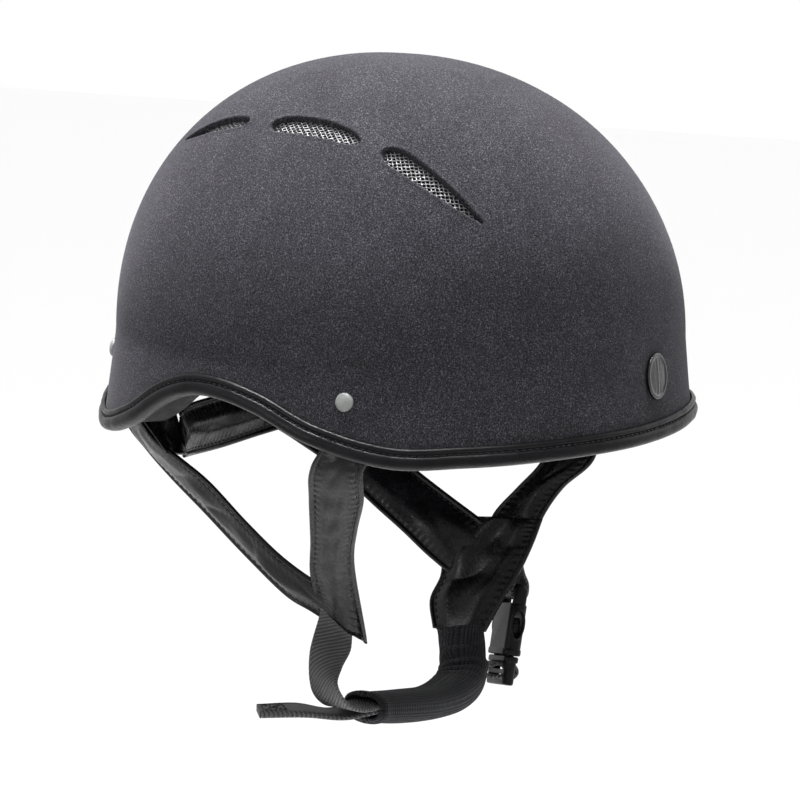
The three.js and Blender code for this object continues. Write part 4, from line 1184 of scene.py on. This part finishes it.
def make_sleeve():
    """A knitted tube: ribbed cuff at its upper end, soft folds inside the bend, and a turned-in mouth."""
    stations, around = 230, 84
    t = np.linspace(0, 1, stations)
    at, run, wide, thick = sleeve_frame(t)
    length = np.r_[0, np.cumsum(np.linalg.norm(np.diff(at, axis=0), axis=1))]
    knots = np.linspace(0, 1, len(SLEEVE_WIDTHS))
    half_w = np.interp(t, knots, SLEEVE_WIDTHS) / 2
    half_t = np.interp(t, knots, SLEEVE_THICKNESSES) / 2 * (0.5 + 0.5 * smooth(length / 7))
    turn = np.linspace(0, TAU, around, endpoint=False)
    along, round_ = length[:, None], (turn * 9.0)[None, :]
    flat = signed_power(np.cos(turn), 0.75)[None, :, None] * wide[:, None] * half_w[:, None, None]
    deep = signed_power(np.sin(turn), 0.75)[None, :, None] * thick[:, None] * half_t[:, None, None]
    ring = flat + deep
    outer = at[:, None] + ring + sleeve_swell(along, round_, turn, length[-1])[..., None] * unit(ring)
    back_ring = ring[::-1][:MOUTH_ROWS]
    crumple = 0.25 * ripple(along[:MOUTH_ROWS] / 8, round_ / 7, 94)[..., None]
    inner = at[::-1][:MOUTH_ROWS, None] + back_ring + (crumple - 1.7) * unit(back_ring)
    tuck = ((2.4, 0.9, 0.3), (1.4, 0.95, 0.5), (0.5, 0.98, 0.8))
    head = [at[0] - rise * run[0] + w * flat[0] + d * deep[0] for rise, w, d in tuck]
    grid = np.concatenate([head, outer, inner], axis=0)
    lengthways = np.r_[[-rise for rise, _, _ in tuck], length, length[::-1][:MOUTH_ROWS]]
    across = np.broadcast_to(round_, grid.shape[:2])
    cloth = np.stack([np.broadcast_to(lengthways[:, None], across.shape), across, across], axis=-1)
    sleeve = ringed_object("sleeve_knit", grid, KNIT, cloth)
    belongs(sleeve, "chin_strap", "knit", "chin_sleeve")


# ---------- webbing ----------

def webbing_strip(name, edges, thicknesses=(WEBBING_THICK, WEBBING_THICK), spacing=0.9):
    """Flat woven tape with rounded selvedges, the edge cords a little proud of the middle."""
    lines = edge_lines(edges, spacing)
    half = np.interp(lines["t"], np.linspace(0, 1, len(thicknesses)), thicknesses) / 2
    near_edge = np.array((0.0, 0.15, 0.4, 0.8, 1.2, 1.7, 2.4))
    rings, cloth = [], []
    for i, width in enumerate(lines["width"]):
        inner = width / 2 - 3.2
        across = np.r_[-width / 2 + near_edge, np.linspace(-inner, inner, 12), width / 2 - near_edge[::-1]]
        edge = width / 2 - np.abs(across)
        round_off = np.sqrt(np.clip(1 - ((0.8 - np.minimum(edge, 0.8)) / 0.85) ** 2, 0.05, 1))
        cord = 1 + 0.1 * np.exp(-((edge - 1.1) / 0.6) ** 2) - 0.12 * np.exp(-((edge - 2.3) / 0.5) ** 2)
        tooth = 0.05 * math.sin(lines["length"][i] / 1.8 * TAU)
        shifted = across + np.sign(across) * tooth * (edge < 0.5)
        flat = lines["centre"][i] + shifted[:, None] * lines["wide"][i]
        lift = (half[i] * round_off * cord)[:, None] * lines["thick"][i]
        rings.append(np.vstack([flat + lift, (flat - lift)[::-1]]))
        cloth.append(cloth_row(lines["length"][i], across))
    return ringed_object(name, rings, WEBBING, cloth), lines


def sewn_box(name, lines, first, last, lift):
    """Stitching round a box with a cross in it, on both faces of a strip between two stations."""
    across = WEBBING_WIDTH / 2 - 3.0
    corners = [(first, -across), (last, -across), (last, across), (first, across)]
    sides = list(zip(corners, corners[1:] + corners[:1]))
    routes = sides + [(corners[0], corners[2]), (corners[1], corners[3])]
    stations = np.arange(len(lines["t"]))
    w = np.linspace(0, 1, 24)
    parts = []
    for face in (-1, 1):
        for (i0, a0), (i1, a1) in routes:
            place = i0 + (i1 - i0) * w
            aside = a0 + (a1 - a0) * w
            centre, wide, thick = (row_between(stations, lines[key], place)
                                   for key in ("centre", "wide", "thick"))
            path = centre + aside[:, None] * wide + face * lift * thick
            parts.append(stitches(path, face * thick, 2.2, 1.6, 0.22))
    return new_object(name, *merged(parts), THREAD)


def make_chin_webbing():
    """The webbing from the right-hand strap junction into the sleeve, bent where the chin strap swings."""
    inside = (0.92, 0.8, 0.68, 0.56, 0.44, 0.36)
    edges = (
        [(-66.2, -5.5, -109), (-64.5, -2.5, -117.5), (-68.5, -0.5, -131), (-68, 0, -143), (-65, 0, -151),
         (-58, -1.5, -157.3)],
        [(-59.5, -16.3, -119), (-55.5, -13.5, -131.5), (-67.5, -16, -138), (-74.5, -18, -143),
         (-70.5, -19.5, -151), (-60.5, -21.5, -157.3)],
    )
    for edge, side in zip(edges, (1, -1)):
        edge += [sleeve_point(t, side * WEBBING_WIDTH / 2, SLEEVE_LAYER) for t in inside]
    strip, _ = webbing_strip("webbing_chin", edges)
    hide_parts("chin_webbing")
    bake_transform(strip)


def make_tail():
    """The webbing's free end, out of the sleeve's mouth, folded back and sewn at its tip."""
    inside = (0.7, 0.8, 0.9, 1.0)
    free = (
        [(-50, 3.5, -162.5), (-61, 12, -159.4), (-75.5, 23, -158.5)],
        [(-59, -13.5, -162.4), (-74.5, -2.5, -158.8), (-90.5, 11.5, -157)],
    )
    edges = [[sleeve_point(t, side * WEBBING_WIDTH / 2, -SLEEVE_LAYER) for t in inside] + points
             for points, side in zip(free, (1, -1))]
    tail, lines = webbing_strip("webbing_tail", edges, (1.7, 1.7, 1.7, 1.7, 1.8, 2.6, 3.0))
    belongs(tail, "chin_strap", "webbing", "strap_tail")
    count = len(lines["t"])
    belongs(sewn_box("webbing_tail_stitching", lines, count - 14, count - 3, 1.55), "chin_strap", "webbing")


# ---------- buckle, in its own frame: x across, y through, z out of the mouth ----------

def buckle_matrix():
    """Rows are the buckle's own x, y and z directions."""
    up = unit(BUCKLE_UP)
    yaw = math.radians(BUCKLE_YAW)
    across = np.array((math.cos(yaw), math.sin(yaw), 0.0))
    across = unit(across - across.dot(up) * up)
    return np.array((across, np.cross(up, across), up))


def from_buckle(points):
    return np.asarray(points, float) @ buckle_matrix() + BUCKLE_MOUTH


def rounded_outline(width, height, radius):
    """Closed outline of a rectangle with round corners."""
    x_reach, y_reach = width / 2 - radius, height / 2 - radius
    points = []
    for x, y, start in ((1, 1, 0), (-1, 1, 90), (-1, -1, 180), (1, -1, 270)):
        for a in np.radians(np.linspace(start, start + 90, 7)):
            points.append((x * x_reach + radius * math.cos(a), y * y_reach + radius * math.sin(a)))
    return np.array(points)


def moulded_block(width, thickness, low, high, radius, edge):
    """A block with round corners seen across and rounded edges, its long axis along z."""
    outline = rounded_outline(width, thickness, min(radius, thickness / 2 - 0.01))
    rings = []
    for z, shrink in ((low, edge), (low + 0.3 * edge, 0.3 * edge), (low + edge, 0), (high - edge, 0),
                      (high - 0.3 * edge, 0.3 * edge), (high, edge)):
        flat = outline * (1 - shrink / (width / 2), 1 - shrink / (thickness / 2))
        rings.append(np.c_[flat, np.full(len(flat), z)])
    return np.vstack(rings), capped_faces(len(rings), len(outline))


def oval_prism(x_low, x_high, depth, reach, z):
    """An oval seen along x, for cutting windows."""
    steps = 40
    turn = np.linspace(0, TAU, steps, endpoint=False)
    ring = np.c_[depth * np.cos(turn), z + reach * np.sin(turn)]
    points = np.vstack([np.c_[np.full(steps, x), ring] for x in (x_low, x_high)])
    return points, capped_faces(2, steps)


def oval_ring(x, depth, reach, z, radius):
    """A thin raised rim round an oval window."""
    steps, sides = 48, 10
    turn = np.linspace(0, TAU, steps, endpoint=False)
    centre = np.c_[np.full(steps, x), depth * np.cos(turn), z + reach * np.sin(turn)]
    outward = unit(np.c_[np.zeros(steps), np.cos(turn) * reach, np.sin(turn) * depth])
    spin = np.linspace(0, TAU, sides, endpoint=False)[None, :, None]
    ring = np.cos(spin) * outward[:, None] + np.sin(spin) * np.array((1.0, 0, 0))
    return (centre[:, None] + radius * ring).reshape(-1, 3), grid_faces(steps, sides, closed=True)


def plain_box(width, thickness, height, z):
    x, y, h = width / 2, thickness / 2, height / 2
    points = np.array([(a * x, b * y, z + c * h) for a in (-1, 1) for b in (-1, 1) for c in (-1, 1)])
    faces = [(0, 1, 3, 2), (4, 6, 7, 5), (0, 4, 5, 1), (2, 3, 7, 6), (0, 2, 6, 4), (1, 5, 7, 3)]
    return points, faces


def carved(name, bodies, cutters, material):
    """Joins bodies, cuts the cutters out and rounds the edges, all in the buckle's frame."""
    made = new_object(name, from_buckle(bodies[0][0]), bodies[0][1], material)
    helpers = []
    for operation, group in (("UNION", bodies[1:]), ("DIFFERENCE", cutters)):
        for number, (points, faces) in enumerate(group):
            helper = new_object(f"{name}_helper_{number}", from_buckle(points), faces, material)
            modifier = made.modifiers.new("carve", "BOOLEAN")
            modifier.operation = operation
            modifier.solver = "EXACT"
            modifier.object = helper
            helpers.append(helper)
    rounding = made.modifiers.new("rounding", "BEVEL")
    rounding.width = 0.3 * MM
    rounding.segments = 2
    rounding.limit_method = "ANGLE"
    rounding.angle_limit = math.radians(40)
    rounding.harden_normals = False
    apply_modifiers(made)
    for helper in helpers:
        bpy.data.objects.remove(helper, do_unlink=True)
    made.data.shade_smooth()
    made.data.set_sharp_from_angle(angle=math.radians(50))
    return made


def make_socket():
    """The socket: a hollow shell with an oval window through its sides and a slotted webbing bar on top."""
    side = BUCKLE_WIDTH / 2
    window_z = 14.4
    shell = moulded_block(BUCKLE_WIDTH, 8, 0, 24, 3.6, 0.8)
    collar = moulded_block(BUCKLE_WIDTH + 0.6, 8.8, 0, 3.2, 3.9, 0.7)
    bar = moulded_block(26, 5, 21, 33, 2.4, 0.8)
    points, faces = moulded_block(4, 6.4, 20, 31, 1.9, 0.8)
    shoulders = [(points + np.array((s * 11.2, 0, 0)), faces) for s in (-1, 1)]
    cavity = plain_box(25, 6, 24.5, 10.2)
    window = oval_prism(-side - 2, side + 2, 2.5, 6.0, window_z)
    slot = plain_box(BUCKLE_SLOT, 12, 4.4, 26.4)
    scoops = [oval_prism(s * side - 1.2, s * side + 1.2, 3.1, 7.0, window_z) for s in (-1, 1)]
    solids = [shell, collar, bar] + shoulders
    socket = carved("buckle_socket_body", solids, [cavity, window, slot] + scoops, BUCKLE)
    belongs(socket, "helmet", "buckle", "buckle_socket")
    points, faces = merged([oval_ring(s * (side - 0.25), 3.0, 6.8, window_z, 0.62) for s in (-1, 1)])
    belongs(new_object("buckle_socket_rims", from_buckle(points), faces, BUCKLE), "helmet", "buckle")


def make_plug():
    """The plug: a base with two webbing slots, a lip that meets the socket and a middle tongue."""
    base = moulded_block(BUCKLE_WIDTH, 5.4, -13.8, -1.2, 2.6, 0.9)
    lip = moulded_block(BUCKLE_WIDTH + 0.4, 7.0, -3.4, -0.4, 3.0, 0.7)
    tongue = plain_box(4, 2.2, 16, 6.2)
    slots = [plain_box(BUCKLE_SLOT, 12, 2.6, z) for z in (-5.4, -10)]
    plug = carved("buckle_plug_body", [base, lip, tongue], slots, BUCKLE)
    belongs(plug, "chin_strap", "buckle", "buckle_plug")


def make_prong(sign, name):
    """A sprung arm with a ribbed thumb pad that shows through the socket's side."""
    z = np.linspace(-0.8, 17.6, 44)
    swell = np.where(z > 8, np.sin(np.clip((z - 8) / 9.6, 0, 1) * math.pi), 0)
    outer = 10.8 + 1.3 * swell + 0.10 * np.cos(z / 0.9 * math.pi) * (swell > 0.3)
    inner = 8.5 + 0.5 * swell
    half = 1.6 + 0.35 * smooth((z - 8) / 3) * smooth((17.6 - z) / 3)
    turn = np.linspace(0, TAU, 20, endpoint=False)
    x = (outer + inner)[:, None] / 2 + (outer - inner)[:, None] / 2 * signed_power(np.cos(turn), 0.5)
    y = half[:, None] * signed_power(np.sin(turn), 0.5)
    points = np.stack([sign * x, y, np.broadcast_to(z[:, None], x.shape)], axis=-1)
    arm = ringed_object(f"prong_{name}_arm", from_buckle(points), BUCKLE)
    belongs(arm, f"prong_{name}", "buckle", f"buckle_prong_{name}")


def make_buckle_webbing():
    """Loops through both halves; the upper one turns flat against the guard and is sewn to it."""
    half = WEBBING_WIDTH / 2
    socket_path = ((3.6, 36.5), (3.4, 33), (3.6, 30.5), (3.2, 28), (1.4, 27), (-1.4, 27), (-3.2, 28),
                   (-3.6, 30.5), (-3.0, 34), (-0.6, 38))
    plug_path = ((8, -6), (5.4, -4.6), (2, -4.6), (-2.8, -4.6), (-4.6, -7.3), (-2.8, -10), (2, -10), (8, -11))
    sewn_ends = ((-half, (74.4, -24.5, -111)), (half, (74.9, -5, -112)))
    socket_edges = []
    for x, end in sewn_ends:
        loop = from_buckle([(x, y, z) for y, z in socket_path])
        socket_edges.append(np.vstack([end, loop, np.array(end) + (1.6, 0, -1)]))
    plug_edges = [from_buckle([(x, y, z) for y, z in plug_path]) for x in (-half, half)]
    strip, _ = webbing_strip("webbing_socket", socket_edges, spacing=0.7)
    belongs(strip, "helmet", "webbing", "socket_webbing")
    strip, _ = webbing_strip("webbing_plug", plug_edges, spacing=0.7)
    belongs(strip, "chin_strap", "webbing", "plug_webbing")


# ---------- stage ----------

def make_stage():
    """A pale floor, far below so that the helmet throws no shadow in view."""
    ground = bpy.data.materials.new("pale_floor")
    ground.use_nodes = True
    shader = ground.node_tree.nodes["Principled BSDF"]
    shader.inputs["Base Color"].default_value = (0.96, 0.96, 0.96, 1)
    shader.inputs["Roughness"].default_value = 0.9
    z = cad_low[2] / MM - FLOOR_DROP
    corners = ((-1, -1), (1, -1), (1, 1), (-1, 1))
    points = np.array([(x * FLOOR_REACH, y * FLOOR_REACH, z) for x, y in corners], float)
    new_object("floor", points, [(0, 1, 2, 3)], ground, closed=False)


def area_light(name, place, target, size, power, spread=180):
    data = bpy.data.lights.new(name, "AREA")
    data.spread = math.radians(spread)
    data.shape = "SQUARE"
    data.size = size
    data.energy = power
    lamp = bpy.data.objects.new(name, data)
    lamp.location = place
    lamp.rotation_mode = "QUATERNION"
    lamp.rotation_quaternion = (Vector(place) - Vector(target)).to_track_quat("Z", "Y")
    bpy.context.collection.objects.link(lamp)


def make_lights():
    world = bpy.data.worlds.new("studio")
    bpy.context.scene.world = world
    world.use_nodes = True
    background = world.node_tree.nodes["Background"]
    background.inputs["Color"].default_value = (1.0, 1.0, 1.0, 1)
    background.inputs["Strength"].default_value = 1.0
    middle = (0, 0, 0)
    area_light("key", (-0.5, -0.7, 2.5), middle, 0.9, 60)
    area_light("top", (0.3, 0.5, 2.3), (0, 0, 0.05), 0.8, 16, spread=36)
    area_light("fill", (1.6, -1.2, 0.7), middle, 1.2, 5)
    area_light("side", (-1.8, 0.9, 0.2), (0, 0, -0.08), 0.5, 6)
    bpy.context.scene.view_settings.view_transform = "Standard"


def make_camera():
    data = bpy.data.cameras.new("camera")
    data.sensor_width = 36
    data.lens = 182.25
    data.shift_x = 0.0121
    data.shift_y = -0.0869
    data.clip_end = 50
    camera = bpy.data.objects.new("camera", data)
    camera.location = (-1.5205, -0.9171, 0.2952)
    camera.rotation_mode = "QUATERNION"
    camera.rotation_quaternion = Vector((-0.8447, -0.5095, 0.164)).to_track_quat("Z", "Y")
    bpy.context.collection.objects.link(camera)
    bpy.context.scene.camera = camera


make_camera()
make_shell()
make_liner()
make_trim()
for vent_place, vent_shape in VENTS.items():
    for vent_side in SIDES:
        make_grille(vent_place, vent_shape, vent_side)
for rivet_place in RIVETS:
    for rivet_side in SIDES:
        make_rivet(rivet_place, rivet_side)
paint_washers()
make_badge()
make_straps()
make_nape_lining()
make_pads()
make_crown_pad()
make_sleeve()
make_chin_webbing()
make_tail()
make_socket()
make_plug()
make_prong(-1, "front")
make_prong(1, "rear")
make_buckle_webbing()
make_stage()
make_lights()
